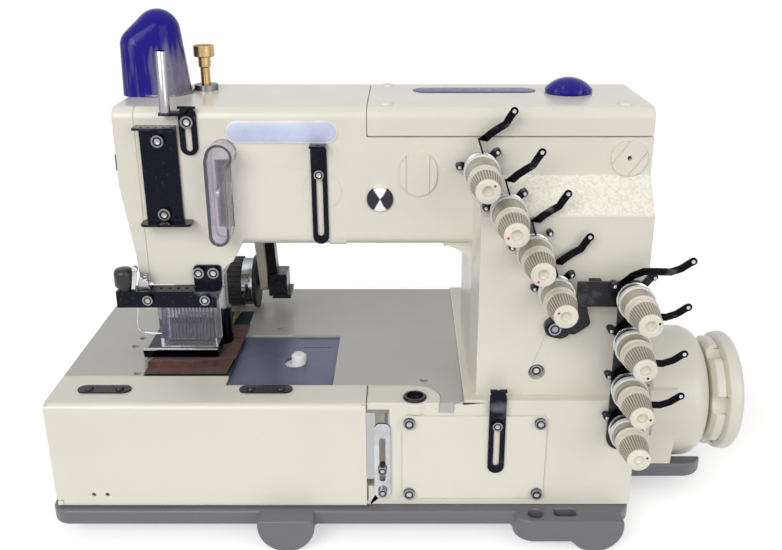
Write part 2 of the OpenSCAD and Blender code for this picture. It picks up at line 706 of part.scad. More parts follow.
// lobe of the needle bar cover: round post with a domed top, t inside its skin
module cover_lobe(p, r0, r1, h, t = 0) translate([p.x, p.y, arm_top]) rotate_extrude() polygon(concat(
    [[0, -t], [r0 - t, -t]],
    arc([0, h], r1 - t, 0, 90, 10)));

cover_low = [70.5, needle_y - 15]; // axis of the low front lobe
cover_high = [needle_x - 2.5, needle_y - 8];

module needle_bar_cover() color(clear_blue) difference() {
    union() {
        cover_lobe(cover_low, 13.5, 12.5, 34);
        cover_lobe(cover_high, 20.5, 15.5, 43);
        rod_along_z(arm_top, arm_top + 2, cover_high.x, cover_high.y, 22);
    }
    cover_lobe(cover_low, 13.5, 12.5, 34, cover_wall);
    cover_lobe(cover_high, 20.5, 15.5, 43, cover_wall);
}
cover_wall = 2;

module presser_bar() color(steel) {
    rod_along_z(18, arm_top - 28, presser_x, presser_y, presser_bar_r);
    // collar that the spring rests on, and the lifting bracket
    rod_along_z(150, 156, presser_x, presser_y, 7);
}

module presser_spring() color(steel)
    bush_along_z(156, arm_top - 12, presser_x, presser_y, presser_bar_r + 0.45, 2);

module pressure_screw() color(gold) {
    rod_along_z(arm_top - 11.5, arm_top + 17, presser_x, presser_y, screw_r);
    rod_along_z(arm_top - 11.5, arm_top - 9, presser_x, presser_y, 6.5);
    rod_along_z(arm_top + 17, arm_top + 25, presser_x, presser_y, screw_r + 1);
    rod_along_z(arm_top + 24, arm_top + 32, presser_x, presser_y, 7.6);
}

sole_z = 1.6;                      // underside and upper side of the foot's sole
sole_top = sole_z + 3;

module presser_foot() color(steel) difference() {
    union() {
        // sole with an upturned front edge
        yz(needle_x - 32, presser_x) translate([needle_y, 0]) polygon([
            [-29, 9], [-27.5, 10], [-24, sole_top], [32, sole_top], [38, sole_top + 3],
            [39, sole_top + 2], [33, sole_z], [-26.5, sole_z]]);
        // shank and its clamp on the bar
        rod_along_z(sole_z, 32, presser_x, presser_y, shank_r);
    }
    rod_along_z(18, 33, presser_x, presser_y, presser_bar_r);
    // needle slot
    block([slit_x[0] - 1, needle_y - 3, 0], [slit_x[1] + 1, needle_y + 3, sole_top + 0.5]);
}

module loopers() color(steel) {
    rod_along_x(6, rib_x[0] + 26, looper_y, looper_z, looper_r);
    // crank arm of the looper drive
    yz(rib_x[0] + 16, rib_x[0] + 24) strip([[looper_y, looper_z], [looper_y + 6, looper_z - 20]], 12);
    for (x = [20, rib_x[0] - 10]) rod_along_x(x, x + 6, looper_y, looper_z, looper_r + 4);
    // looper holder and its row of loopers
    block([slit_x[0] - 4, looper_y - 9, looper_z - 9], [slit_x[1] + 4, looper_y + 9, looper_z + 12]);
    for (i = [0:needle_n - 1]) translate([needle_at(i) + 1.4, 0, 0]) yz(-0.4, 0.4) polygon([
        [looper_y - 4, looper_z + 10], [looper_y + 3, looper_z + 10], [looper_y + 6, looper_z + 26],
        [looper_y + 16, looper_z + 30], [needle_y - 4, looper_z + 31], [looper_y + 14, looper_z + 33],
        [looper_y, looper_z + 31]]);
}

module feed_dog() color(steel) {
    // toothed rows behind the needles
    feed_l = feed_y[1] - feed_y[0];
    teeth = floor(feed_l / 1.8);
    for (x = feed_rows) yz(x - 1.6, x + 1.6) translate([feed_y[0], 0]) polygon(concat(
        [[0, feed_z - 1], [0, 0]], [for (k = [0:teeth - 1]) each [[k * 1.8, 0], [k * 1.8 + 1.5, 0.9]]],
        [[feed_l, 0], [feed_l, feed_z - 1]]));
    // bar under the plate, sliding on the feed guide
    block([feed_rows[0] - 6, feed_y[0], feed_z - 5], [feed_guide_x + 7, feed_y[1], feed_z]);
    difference() {
        block([feed_guide_x - 7, feed_y[0], feed_z - 17], [feed_guide_x + 7, feed_y[1], feed_z - 4]);
        rod_along_y(feed_y[0] - 1, feed_y[1] + 1, feed_guide_x, feed_z - 11, 3 + run);
    }
}

// ---------------------------------------------------------------- guides on the head

guide_x = [80, 105];

module guide_plate() color(steel) difference() {
    union() {
        block([guide_x[0], arm_y - 2, 126], [guide_x[1], arm_y, 193.4]);
        // folded ends with thread holes
        block([guide_x[0] - 2, arm_y - 11, 191.8], [guide_x[1], arm_y, 193.4]);
        xy(126, 127.6) round_rect([guide_x[0] - 2.5, arm_y - 13], [guide_x[1] + 7, arm_y], 3);
    }
    for (i = [0:4]) rod_along_z(120, 195, guide_x[0] + 3.5 + i * 5, arm_y - 8, 1.1);
    screw_bores();
}

// upright strip with a long slot, clamped by a screw; its upper end leans out
module slotted_strip(x, z0, z1, w, y0, fold, s0, s1) difference() {
    union() {
        xz(y0 - 1.6, y0) strip([[x, z0 + w / 2], [x, z1 - w / 2]], w);
        block([x - w / 2, y0 - fold, z1 - 1.6], [x + w / 2, y0, z1]);
    }
    xz(y0 - fold - 3, y0 + 1) strip([[x, s0], [x, s1]], 4.4);
    rod_along_z(z1 - 3, z1 + 1, x, y0 - fold + 3, 1.2);
    screw_bores();
}

short_x = 113;

module short_slot_guide() color(steel) {
    slotted_strip(short_x, 173, 206, 12, arm_y, 2, 178, 196);
    // tube that leads the threads up from the guide
    block([short_x - 17, arm_y - 9, 201], [short_x, arm_y, 203]);
    translate([short_x - 13, arm_y - 6, 203]) rotate([0, 1, 0]) rotate_extrude() translate([2.2, -0.2]) square([1.2, 40]);
}

module long_slot_guide() color(steel) slotted_strip(199.5, 110, 181, 11, arm_y, 10, 118, 160);

// outline of the clear guard in front of the take-up slot, t inside its skin
module guard_outline(t) {
    strip([[0, -29.5], [0, 22]], 14 - 2 * t);
    translate([3, 25]) circle(9 - t);
}

module takeup_guard() color(clear) translate([takeup_x, arm_y, 150]) difference() {
    xz(-18, 0) guard_outline(0);
    xz(-16, 1) guard_outline(2);
}

// tension release lever on its round boss
release_at = [plate_l + 61.8, 56.4];
sunk_x = plate_l + 52;             // sunk screw low on the column

module release_lever() color(black) difference() {
    xz(column_y - 5, column_y - 2) {
        strip([for (p = [[0, 0], [13.2, -0.9], [20.7, 4.6], [17.2, 16.6]]) release_at + p], 7.5);
        strip([release_at, release_at + [4.2, -0.9]], 14);
    }
    rod_along_y(column_y - 6, column_y, release_at.x, release_at.y, 3 + run);
}

module access_plugs() color(cream) {
    // oval plug, raised between two flats
    difference() {
        union() {
            xz(arm_y - 1.6, arm_y) translate([plug_x[1], plug_z[1]]) strip([[0, -3], [0, 3]], 25);
            rod_along_y(arm_y, arm_y + 7, plug_x[1], plug_z[1], 10);
        }
        for (s = [-1, 1]) translate([plug_x[1] + s * 8, arm_y - 1.6, plug_z[1]]) cube([1, 1.2, 30], center = true);
    }
    difference() {
        union() {
            rod_along_y(arm_y - 1.6, arm_y, plug_x[2], plug_z[2], 12.5);
            rod_along_y(arm_y, arm_y + 7, plug_x[2], plug_z[2], 10);
        }
        for (s = [-1, 1]) translate([plug_x[2], arm_y - 1.6, plug_z[2]]) rotate([0, 35, 0])
            translate([s * 7, 0, 0]) cube([1, 1.2, 26], center = true);
        rod_along_y(arm_y - 2, arm_y + 8, plug_x[2], plug_z[2], 1.6);
    }
}

module oil_dome() color(clear_blue) translate([dome.x, dome.y, arm_top - 5]) rotate_extrude() difference() {
    union() {
        square([12, 6]);
        intersection() {
            translate([0, -6]) circle(22);
            translate([0, 5]) square([17, 14]);
        }
    }
    intersection() {
        translate([0, -6]) circle(19.5);
        translate([0, -1]) square([10, 30]);
    }
    translate([-30, -30]) square([30, 60]);
}

module oil_sight() color(black) {
    difference() {
        rod_along_z(-gauge_h, 0, gauge.x, gauge.y, gauge_r);
        rod_along_z(-6, 1, gauge.x, gauge.y, gauge_r - 2);
        rod_along_z(-3, 1, gauge.x, gauge.y, gauge_r - 1.4);
    }
    rod_along_z(-6, -3, gauge.x, gauge.y, gauge_r - 2);
    // screwed rim
    translate([gauge.x, gauge.y, 0]) rotate_extrude() polygon([[gauge_r - 1.4, 0], [gauge_r + 1, 0],
        [gauge_r + 1, 1], [gauge_r, 1.8], [gauge_r - 1.4, 1.8]]);
}

// ---------------------------------------------------------------- guards at the needles

guard_y = arm_y - 13;              // front of the guard bar
bar_x = [needle_x - 30.5, needle_x + 39.5];
bar_z = head_bottom - 12.5;        // lower edge of the guard bar
bar_h = 12;
shelf_z = bar_z + bar_h - 2;       // underside of the shelves on the bar
pane_x = [needle_x - 2.8, needle_x + 37.3];
pane_z = [bar_z - 31.5, bar_z - seat];
pane_y = guard_y + 2 + 0.2;        // front of the clear pane behind the bar
thumb = [needle_x - 25, guard_y + 5.6];
hanger_x = [needle_x + 22.5, needle_x + 42.3];

module guard_bar() color(steel) difference() {
    union() {
        // bar in front of the needles
        block([bar_x[0], guard_y, bar_z], [bar_x[1], guard_y + 2, bar_z + bar_h]);
        // shelf of the thumb knob
        block([bar_x[0], guard_y + 1, shelf_z], [needle_x - 8, arm_y - 1, shelf_z + 2]);
        // comb for the threads
        difference() {
            block([needle_x - 10, guard_y + 1, shelf_z], [hanger_x[1], arm_y, shelf_z + 2]);
            for (i = [0:4]) rod_along_z(shelf_z - 1, shelf_z + 3, needle_x + i * 6, guard_y + 7, 1.2);
        }
        // hanger plate screwed to the face of the head
        xz(arm_y - 2, arm_y) round_rect([hanger_x[0], shelf_z + 1], [hanger_x[1], shelf_z + 17.6], 3);
    }
    screw_bores();
}

module eye_guard() color(clear) difference() {
    union() {
        // rim round the pane, and the tab behind the bar
        difference() {
            block([pane_x[0], pane_y, pane_z[0]], [pane_x[1], pane_y + 2, pane_z[1]]);
            block([pane_x[0] + 6, pane_y - 1, pane_z[0] + 6], [pane_x[1] - 6, pane_y + 3, pane_z[1] - 6]);
        }
        block([pane_x[0] + 5, pane_y + 0.5, pane_z[0] + 5], [pane_x[1] - 5, pane_y + 1.5, pane_z[1] - 5]);
        block([needle_x - 12, pane_y, pane_z[1] - 1], [pane_x[1], pane_y + 2, shelf_z - 0.5]);
        // side panes
        for (x = [pane_x[0], pane_x[1] - 2])
            block([x, pane_y + 1, pane_z[0]], [x + 2, pane_y + 20, pane_z[1]]);
    }
    screw_bores();
}

module guard_knob() color(black) {
    rod_along_z(shelf_z + 2, shelf_z + 4, thumb.x, thumb.y, 5);
    rod_along_z(shelf_z + 4, shelf_z + 18, thumb.x, thumb.y, 7);
}

// ---------------------------------------------------------------- puller

puller_x = [94, 129];              // ends of the roller

module puller_roller() color(rubber) {
    translate([puller_x[0], puller_y, puller_z]) rotate([0, 90, 0]) difference() {
        union() {
            cylinder(h = 22, r = puller_r, $fn = 96);
            translate([0, 0, 22]) cylinder(h = 10, r = puller_r - 2, $fn = 96);
            translate([0, 0, 32]) cylinder(h = puller_x[1] - puller_x[0] - 32, r = puller_r + 1, $fn = 96);
        }
        translate([0, 0, -1]) cylinder(h = 60, r = 4);
        // ribs left between shallow grooves
        for (a = [0:12:348]) rotate(a) translate([puller_r, 0, -1]) cylinder(h = 23, r = 0.7);
    }
    rod_along_x(puller_x[0], puller_x[1] + 18, puller_y, puller_z, 4);
}

module puller_arm() color(cream) difference() {
    yz(puller_x[1] + 2, puller_x[1] + 9)
        strip([[puller_y, puller_z], [pivot_y + 6, pivot_z - 50], [pivot_y, pivot_z]], 16);
    rod_along_x(puller_x[1], puller_x[1] + 12, puller_y, puller_z, 4 + run);
    rod_along_x(puller_x[1], puller_x[1] + 12, pivot_y, pivot_z, 4 + run);
}

// pivot pin, and the drive case on the roller's shaft with its strut to the arm
module puller_drive() color(black) {
    rod_along_x(pivot_x[0], pivot_x[1] + 8, pivot_y, pivot_z, 4);
    difference() {
        union() {
            yz(case_x[0], case_x[0] + 8) strip([[puller_y, puller_z], [pivot_y + 6, pivot_z - 50]], 12);
            block([case_x[0], puller_y - 11, puller_z - 10], [case_x[1] - 3, puller_y + 11, puller_z + 10]);
            block([case_x[0] + 3, puller_y - 13, puller_z - 11.5], [case_x[1], puller_y + 13, puller_z - 8]);
            rod_along_y(puller_y - 14, puller_y - 10, case_x[0] + 9, puller_z + 1, 4);
        }
        rod_along_x(case_x[0] - 1, puller_x[1] + 18 + seat, puller_y, puller_z, 4 + run);
    }
    rod_along_x(puller_x[1] + 9, case_x[0] + 1, pivot_y + 6, pivot_z - 50, 4);
}
case_x = [139, 158];

// ---------------------------------------------------------------- plates on the column

module tension_bracket() color(dark_steel) difference() {
    // plate that carries the lower four tensions, on two feet
    union() {
        xz(-1, 1) strip([[column_r - 15, 92], [column_r - 13, -26]], 24);
        xz(-1, 1) translate([column_r - 49, 76]) square([32, 18]);
        block([column_r - 41, -1, 78], [column_r - 33, column_y, 92]);
        block([column_r - 21, 1, -20], [column_r - 9, 3, 0]);
    }
    for (i = [4:7]) rod_along_y(-2, 4, tensions[i][0], tensions[i][1], post_r);
}

module side_plate() color(cream) difference() {
    xz(1, 3) round_rect([side_x[0], side_z[0]], [side_x[1], side_z[1]], 3);
    screw_bores();
}

module bed_strap() color(dark_steel) slotted_strip(strap_x, -56, 12, 12, 1, 3, -48, -16);
strap_x = side_x[0] + 68;

module latch_plate() color(steel) difference() {
    xz(1, 3) round_rect([front_x + 5, -79], [front_x + 17, -16], 5);
    xz(0, 4) strip([[front_x + 11, -62], [front_x + 11, -30]], 4.4);
    screw_bores();
}

lift_pin = [lift_y - 16, lift_z + 2]; // eye of the lifting lever
link_l = 12;
link_w = 6.2;
link_wire = 1.6;
link_pitch = link_l - 2 * link_wire - 0.3;
links = 7;
chain_x = column_r + 3.6;

module lift_lever() color(dark_steel) {
    rod_along_x(column_r - 30, chain_x + 1, lift_y, lift_z, lift_r);
    difference() {
        yz(chain_x - 1, chain_x + 1) strip([[lift_y, lift_z], lift_pin], 14);
        rod_along_x(chain_x - 2, chain_x + 2, lift_pin.x, lift_pin.y, 3.9);
    }
}

module lift_chain() color(dark_steel) for (i = [0:links - 1])
    translate([chain_x, lift_pin.x, lift_pin.y - 3.2 + seat + link_wire - link_l / 2 - i * link_pitch])
        rotate([90, 0, i * 90]) translate([0, 0, -link_wire / 2]) linear_extrude(link_wire) difference() {
            strip([[0, (link_w - link_l) / 2], [0, (link_l - link_w) / 2]], link_w);
            strip([[0, (link_w - link_l) / 2], [0, (link_l - link_w) / 2]], link_w - 2 * link_wire);
        }

// cap screws: [x, y under the head, z, head radius, length]
screw_list = concat(
    [for (x = [side_x[0] + 5, side_x[1] - 5], z = [side_z[0] + 5, side_z[1] - 5]) [x, 1, z, 4.2, 8]],
    [[sunk_x, column_y + 5, 20, 4.4, 8]],
    [for (z = [-73, -54]) [front_x + 11, 1, z, 3.4, 8]],
    [[strap_x, -0.6, -16, 3.6, 8]],
    [[199.5, arm_y - 1.6, 160, 3.4, 7]],
    [[short_x, arm_y - 1.6, 196, 4.2, 7]],
    [for (x = [needle_x - 8, needle_x + 32]) [x, guard_y, bar_z + 6.5, 3.6, 5]],
    [for (x = [hanger_x[0] + 4, hanger_x[1] - 5.4]) [x, arm_y - 2, shelf_z + 12.7, 4, 7]],
    [for (z = [132.2, 183.2]) [(guide_x[0] + guide_x[1]) / 2, arm_y - 2, z, 4.2, 7]]);

module screws() color(steel) {
    for (s = screw_list) {
        difference() {
            rod_along_y(s[1] - 3, s[1], s[0], s[2], s[3]);
            translate([s[0], s[1] - 3.1, s[2]]) rotate([-90, 0, 0]) cylinder(h = 1.6, r = s[3] * 0.5, $fn = 6);
        }
        rod_along_y(s[1], s[1] + s[4], s[0], s[2], 2);
    }
    // polished plug in the arm's front
    translate([plug_x[0], arm_y, plug_z[0]]) rotate([90, 0, 0])
        rotate_extrude() polygon([[0, -8], [8, -8], [8, 0], [9, 0], [9, 1.2], [8, 2.2], [0, 1.2]]);
    // pin of the release lever, with its washer and head
    rod_along_y(column_y - 5, column_y + 10, release_at.x, release_at.y, 3);
    rod_along_y(column_y - 1.7, column_y, release_at.x, release_at.y, 7);
    rod_along_y(column_y - 7, column_y - 5 - seat, release_at.x, release_at.y, 4.5);
    // lock nut of the pressure screw
    bush_along_z(arm_top, arm_top + 4, presser_x, presser_y, screw_r + run, 5);
    // stop stud under the arm
    rod_along_z(throat_h - 7, throat_h, 171, 92, 3);
}

// holes for the screws' shanks
module screw_bores() for (s = screw_list) rod_along_y(s[1] - 1, s[1] + s[4], s[0], s[2], 2);

// holes for the tension posts in the casting
module post_bores() for (t = tensions) if (t[2] > 0) rod_along_y(t[2] - 1, t[2] + 10, t[0], t[1], post_r);

// ---------------------------------------------------------------- thread tensions

module tension_posts() color(steel) for (t = tensions) {
    rod_along_y(t[2] - t[3] + 13, t[2] + (t[2] > 0 ? 10 : 3.5), t[0], t[1], post_r);
    // shoulder of the post that stands on the arm
    if (t[2] < arm_y && t[2] > column_y) rod_along_y(t[2], arm_y, t[0], t[1], post_r + 2);
}

module tension_discs() color(white) for (t = tensions) {
    // two pressure discs
    for (y = [t[2] - 3, t[2] - 5]) bush_along_y(y - 1, y, t[0], t[1], post_r, disc_r - post_r);
    // nylon ring and the spring seat behind the knob
    bush_along_y(t[2] - 17, t[2] - ring_at, t[0], t[1], post_r, knob_r - post_r + 0.8);
    bush_along_y(t[2] - t[3] + knob_l + 0.3, t[2] - 17, t[0], t[1], post_r, 7);
}

module bush_along_y(a, b, x, z, r, t) difference() {
    rod_along_y(a, b, x, z, r + t);
    rod_along_y(a - 1, b + 1, x, z, r);
}

// thread levers from the post to the eye: steep on the column, flat on the bracket
lever_steep = [[0, 0], [1, 23], [6, 29.5], [17, 33.5], [26, 43]];
lever_flat = [[0, 0], [6, 11], [14, 15], [27, 15.5], [41, 23]];
studs_steep = [[-14.5, 0], [11.5, 12]];
studs_flat = [[-14, 4], [15, 5]];

module tension_guides() color(dark_steel) for (t = tensions) {
    lever = t[2] > 0 ? lever_steep : lever_flat;
    studs = t[2] > 0 ? studs_steep : studs_flat;
    eye = [t[0], t[1]] + lever[len(lever) - 1];
    // base guide round the post
    difference() {
        xz(t[2] - 1.6, t[2]) translate([t[0], t[1]]) {
            circle(9);
            for (p = studs) strip([[0, 0], p], 6);
            strip(lever, 5);
        }
        rod_along_y(t[2] - 2, t[2] + 1, t[0], t[1], post_r);
        rod_along_y(t[2] - 2, t[2] + 1, eye.x, eye.y, 1.2);
    }
    for (p = studs) rod_along_y(t[2] - 5, t[2] - 1.6, t[0] + p.x, t[1] + p.y, 1.6);
}

module tension_knob(t) color(knob_beige) translate([t[0], t[2] - t[3], t[1]]) rotate([-90, 0, 0]) difference() {
    rotate_extrude() polygon([[0, 0], [8, 0], [8.2, 2], [knob_r - 1.6, 16], [knob_r - 1, 18], [knob_r, 19],
        [knob_r, knob_l], [0, knob_l]]);
    translate([0, 0, -1]) cylinder(h = 6, r = 3.4);
    translate([0, 0, 12]) cylinder(h = knob_l, r = post_r + run);
    // flutes
    for (i = [0:knob_flutes - 1]) rotate(i * 360 / knob_flutes) translate([8.6, 0, 3]) rotate([0, 8, 0])
        cylinder(h = 13.5, r = 0.45, $fn = 8);
}

place() base_frame();
place() bed_casting();
place() arm_casting();
place() top_cover();
place() face_cover();
place() bed_plate();
place() front_cover();
place() catch_plates();
place() slide_plate();
place() slide_button();
place() needle_plate();
place() feed_dog();
place() loopers();
place() main_shaft();
place() main_bearings();
place() handwheel();
place() pulley_housing();
place() connecting_rod();
place() rocker_shaft();
place() takeup_lever();
place() needle_bar();
place() needle_clamp();
place() needles();
place() needle_bar_cover();
place() presser_bar();
place() presser_spring();
place() pressure_screw();
place() presser_foot();
place() guide_plate();
place() short_slot_guide();
place() long_slot_guide();
place() takeup_guard();
place() release_lever();
place() access_plugs();
place() oil_dome();
place() oil_sight();
place() guard_bar();
place() eye_guard();
place() guard_knob();
place() puller_roller();
place() puller_arm();
place() puller_drive();
place() tension_bracket();
place() side_plate();
place() bed_strap();
place() latch_plate();
place() lift_lever();
place() lift_chain();
place() screws();
place() tension_posts();
place() tension_discs();
place() tension_guides();
place() tension_knob(tensions[0]);  // tension_knob_1
place() tension_knob(tensions[1]);  // tension_knob_2
place() tension_knob(tensions[2]);  // tension_knob_3
place() tension_knob(tensions[3]);  // tension_knob_4
place() tension_knob(tensions[4]);  // tension_knob_5
place() tension_knob(tensions[5]);  // tension_knob_6
place() tension_knob(tensions[6]);  // tension_knob_7
place() tension_knob(tensions[7]);  // tension_knob_8
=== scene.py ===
"""Finishes the flat-bed waistband sewing machine: enamel, metals, plastics, cloth and the small parts."""

import json
import math
import random

import bmesh
import bpy
from bpy.props import FloatProperty, FloatVectorProperty, IntProperty, PointerProperty
from mathutils import Matrix, Vector


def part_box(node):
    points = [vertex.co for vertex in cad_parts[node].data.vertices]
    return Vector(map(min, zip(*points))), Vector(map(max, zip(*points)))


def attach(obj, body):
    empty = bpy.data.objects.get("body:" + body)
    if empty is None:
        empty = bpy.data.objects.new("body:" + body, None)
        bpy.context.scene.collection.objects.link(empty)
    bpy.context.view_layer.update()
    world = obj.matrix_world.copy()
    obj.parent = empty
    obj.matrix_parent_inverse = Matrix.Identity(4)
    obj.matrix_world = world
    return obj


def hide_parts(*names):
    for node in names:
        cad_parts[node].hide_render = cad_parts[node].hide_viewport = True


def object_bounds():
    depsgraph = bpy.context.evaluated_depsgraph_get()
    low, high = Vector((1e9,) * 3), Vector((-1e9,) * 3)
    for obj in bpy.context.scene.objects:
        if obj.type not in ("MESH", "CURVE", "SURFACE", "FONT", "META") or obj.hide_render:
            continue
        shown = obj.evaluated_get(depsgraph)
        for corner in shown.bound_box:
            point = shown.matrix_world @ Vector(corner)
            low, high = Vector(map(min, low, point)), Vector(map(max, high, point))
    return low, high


bl_info = {
    "name": "Waistband Sewing Machine",
    "version": (1, 0, 0),
    "blender": (4, 5, 0),
    "location": "View3D > Sidebar > Sewing",
    "description": "Builds the finish and the small parts of a flat-bed waistband machine on its packed frame",
    "category": "Object",
}

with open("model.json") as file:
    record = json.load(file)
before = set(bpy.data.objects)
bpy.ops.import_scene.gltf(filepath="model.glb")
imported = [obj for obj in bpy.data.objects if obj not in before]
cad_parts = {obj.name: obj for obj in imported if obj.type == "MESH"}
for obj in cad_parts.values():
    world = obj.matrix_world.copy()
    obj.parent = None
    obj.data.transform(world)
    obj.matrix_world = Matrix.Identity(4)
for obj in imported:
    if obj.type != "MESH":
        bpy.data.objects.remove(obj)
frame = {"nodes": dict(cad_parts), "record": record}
NODES = frame["nodes"]
SLOT_OF = {part["node"]: part["material_slot"] for part in frame["record"]["subparts"]}
BODY_OF = {node: body for body, nodes in frame["record"]["behaviour"]["bodies"].items() for node in nodes}
SIZE_BEFORE = [list(corner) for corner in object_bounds()]
MM = 0.001
WELD = 2e-6  # distance in metres at which a node's doubled corners are joined
RIGHT, BACK, UP = Vector((1, 0, 0)), Vector((0, 1, 0)), Vector((0, 0, 1))
# left end and front face of the bed, and the top of the cloth plate
DATUM = Vector((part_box("bed_casting")[0][0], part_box("front_cover")[0][1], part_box("bed_plate")[1][2]))


def at(x, y, z):
    """A point in millimetres from the bed's left end, front face and cloth plate."""
    return DATUM + Vector((x, y, z)) * MM


def low(node):
    """A node's lowest corner in millimetres from the datum."""
    return (Vector(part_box(node)[0]) - DATUM) / MM


def high(node):
    """A node's highest corner in millimetres from the datum."""
    return (Vector(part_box(node)[1]) - DATUM) / MM


def middle(node):
    """The middle of a node's box in millimetres from the datum."""
    return (low(node) + high(node)) / 2


def ramp(value, start, end):
    """Share of the way from start to end, between 0 and 1."""
    return min(1, max(0, (value - start) / (end - start)))


# ---------------------------------------------------------------- settings


def colour(name, words, value):
    """A colour setting with its default."""
    return FloatVectorProperty(name=name, description=words, subtype="COLOR", size=3, min=0, max=1, default=value)


def length(name, words, value):
    """A length setting in metres."""
    return FloatProperty(name=name, description=words, subtype="DISTANCE", unit="LENGTH", min=0, default=value)


class PaintSettings(bpy.types.PropertyGroup):
    """Enamel on the castings and sheet covers."""

    cream: colour("Cream", "Enamel on the arm, bed and covers", (0.76, 0.73, 0.635))
    grey: colour("Grey", "Enamel on the base frame", (0.135, 0.135, 0.152))
    plate: colour("Plate", "Worn enamel on the cloth plate", (0.46, 0.45, 0.41))
    edge: length("Edge rounding", "Radius of the cast edges", 1.1 * MM)


class MetalSettings(bpy.types.PropertyGroup):
    """Steel, brass and black oxide."""

    steel: colour("Steel", "Ground steel", (0.5, 0.5, 0.52))
    # dark colour of the painted reflections on the polished plates and the presser foot
    polish: colour("Dark polish", "Polished plates that mirror the dark room", (0.014, 0.014, 0.022))
    oxide: colour("Black oxide", "Blackened steel", (0.022, 0.022, 0.026))
    slide: colour("Slide plate", "Blue-grey hardened steel", (0.125, 0.14, 0.235))
    brass: colour("Brass", "Pressure screw", (0.62, 0.44, 0.2))


class PlasticSettings(bpy.types.PropertyGroup):
    """Knobs, guards and covers."""

    # painted shade: the knob colour is the rim's plastic darkened for the sides of the fluted cone, and the groove
    # colour is darker still for the shade in the grooves
    knob: colour("Knob", "Tension knobs", (0.62, 0.56, 0.475))
    groove: colour("Knob groove", "Grooves of the knobs", (0.36, 0.32, 0.265))
    sleeve: colour("Sleeve", "Smooth sleeves behind the knobs", (0.46, 0.43, 0.33))
    rim: colour("Knob rim", "Smooth collar and face of the knobs", (0.8, 0.75, 0.65))
    cover: colour("Blue cover", "Top of the needle bar cover and of the oil dome", (0.012, 0.009, 0.24))
    plate: colour("Name plate", "Bare field of the name plate", (0.6, 0.65, 0.85))


class ClothSettings(bpy.types.PropertyGroup):
    """Cloth sample under the presser foot."""

    brown: colour("Brown", "Cloth sample", (0.082, 0.028, 0.018))
    thread: colour("Thread", "Sewing thread", (0.52, 0.36, 0.1))
    folds: IntProperty(name="Folds", description="Seed of the cloth's creases", min=0, default=7)


class StageSettings(bpy.types.PropertyGroup):
    """Floor, lamps and camera."""

    floor: colour("Floor", "Studio floor", (0.8, 0.8, 0.8))
    lamp: FloatProperty(name="Lamp", description="Strength of the soft lamps", min=0, default=1.0)
    focal: FloatProperty(name="Focal length", description="Camera lens in millimetres", min=1, default=41.98)
    pitch: FloatProperty(name="Pitch", description="Camera tilt below level", subtype="ANGLE",
                         default=math.radians(21))


SETTINGS = {"paint": PaintSettings, "metal": MetalSettings, "plastic": PlasticSettings, "cloth": ClothSettings,
            "stage": StageSettings}


def settings(group):
    """One group of the add-on's settings."""
    return getattr(bpy.context.scene, "waistband_" + group)


# ---------------------------------------------------------------- materials


class Nodes:
    """The node tree of a new material or world, and short ways to add nodes to it."""

    def __init__(self, owner):
        owner.use_nodes = True
        self.tree = owner.node_tree

    def add(self, kind, inputs=None, **values):
        """A node with its properties and inputs set; an input may be a socket to link."""
        node = self.tree.nodes.new(kind)
        for key, value in values.items():
            setattr(node, key, value)
        for key, value in (inputs or {}).items():
            self.put(node.inputs[key], value)
        return node

    def put(self, socket, value):
        """Links a socket or sets its value."""
        if isinstance(value, bpy.types.NodeSocket):
            self.tree.links.new(value, socket)
        else:
            socket.default_value = value

    def span(self, value, low, high, to_low, to_high):
        """Maps a value's range to another one."""
        return self.add("ShaderNodeMapRange", {"Value": value, "From Min": low, "From Max": high,
                                               "To Min": to_low, "To Max": to_high}).outputs["Result"]

    def sum(self, first, second, operation="ADD"):
        """Two values put together."""
        return self.add("ShaderNodeMath", {0: first, 1: second}, operation=operation).outputs[0]

    def watched(self):
        """1 for what the camera sees, also in a mirror and through a clear piece."""
        path = self.add("ShaderNodeLightPath").outputs
        either = self.sum(path["Is Camera Ray"], path["Is Glossy Ray"], "MAXIMUM")
        return self.sum(either, path["Is Transmission Ray"], "MAXIMUM")

    def blend(self, factor, first, second):
        """Mix of two colours."""
        node = self.add("ShaderNodeMix", data_type="RGBA")
        sockets = [s for s in node.inputs if s.enabled]
        self.put(sockets[0], factor)
        self.put(sockets[1], first if isinstance(first, bpy.types.NodeSocket) else (*first[:3], 1))
        self.put(sockets[2], second if isinstance(second, bpy.types.NodeSocket) else (*second[:3], 1))
        return next(s for s in node.outputs if s.enabled)


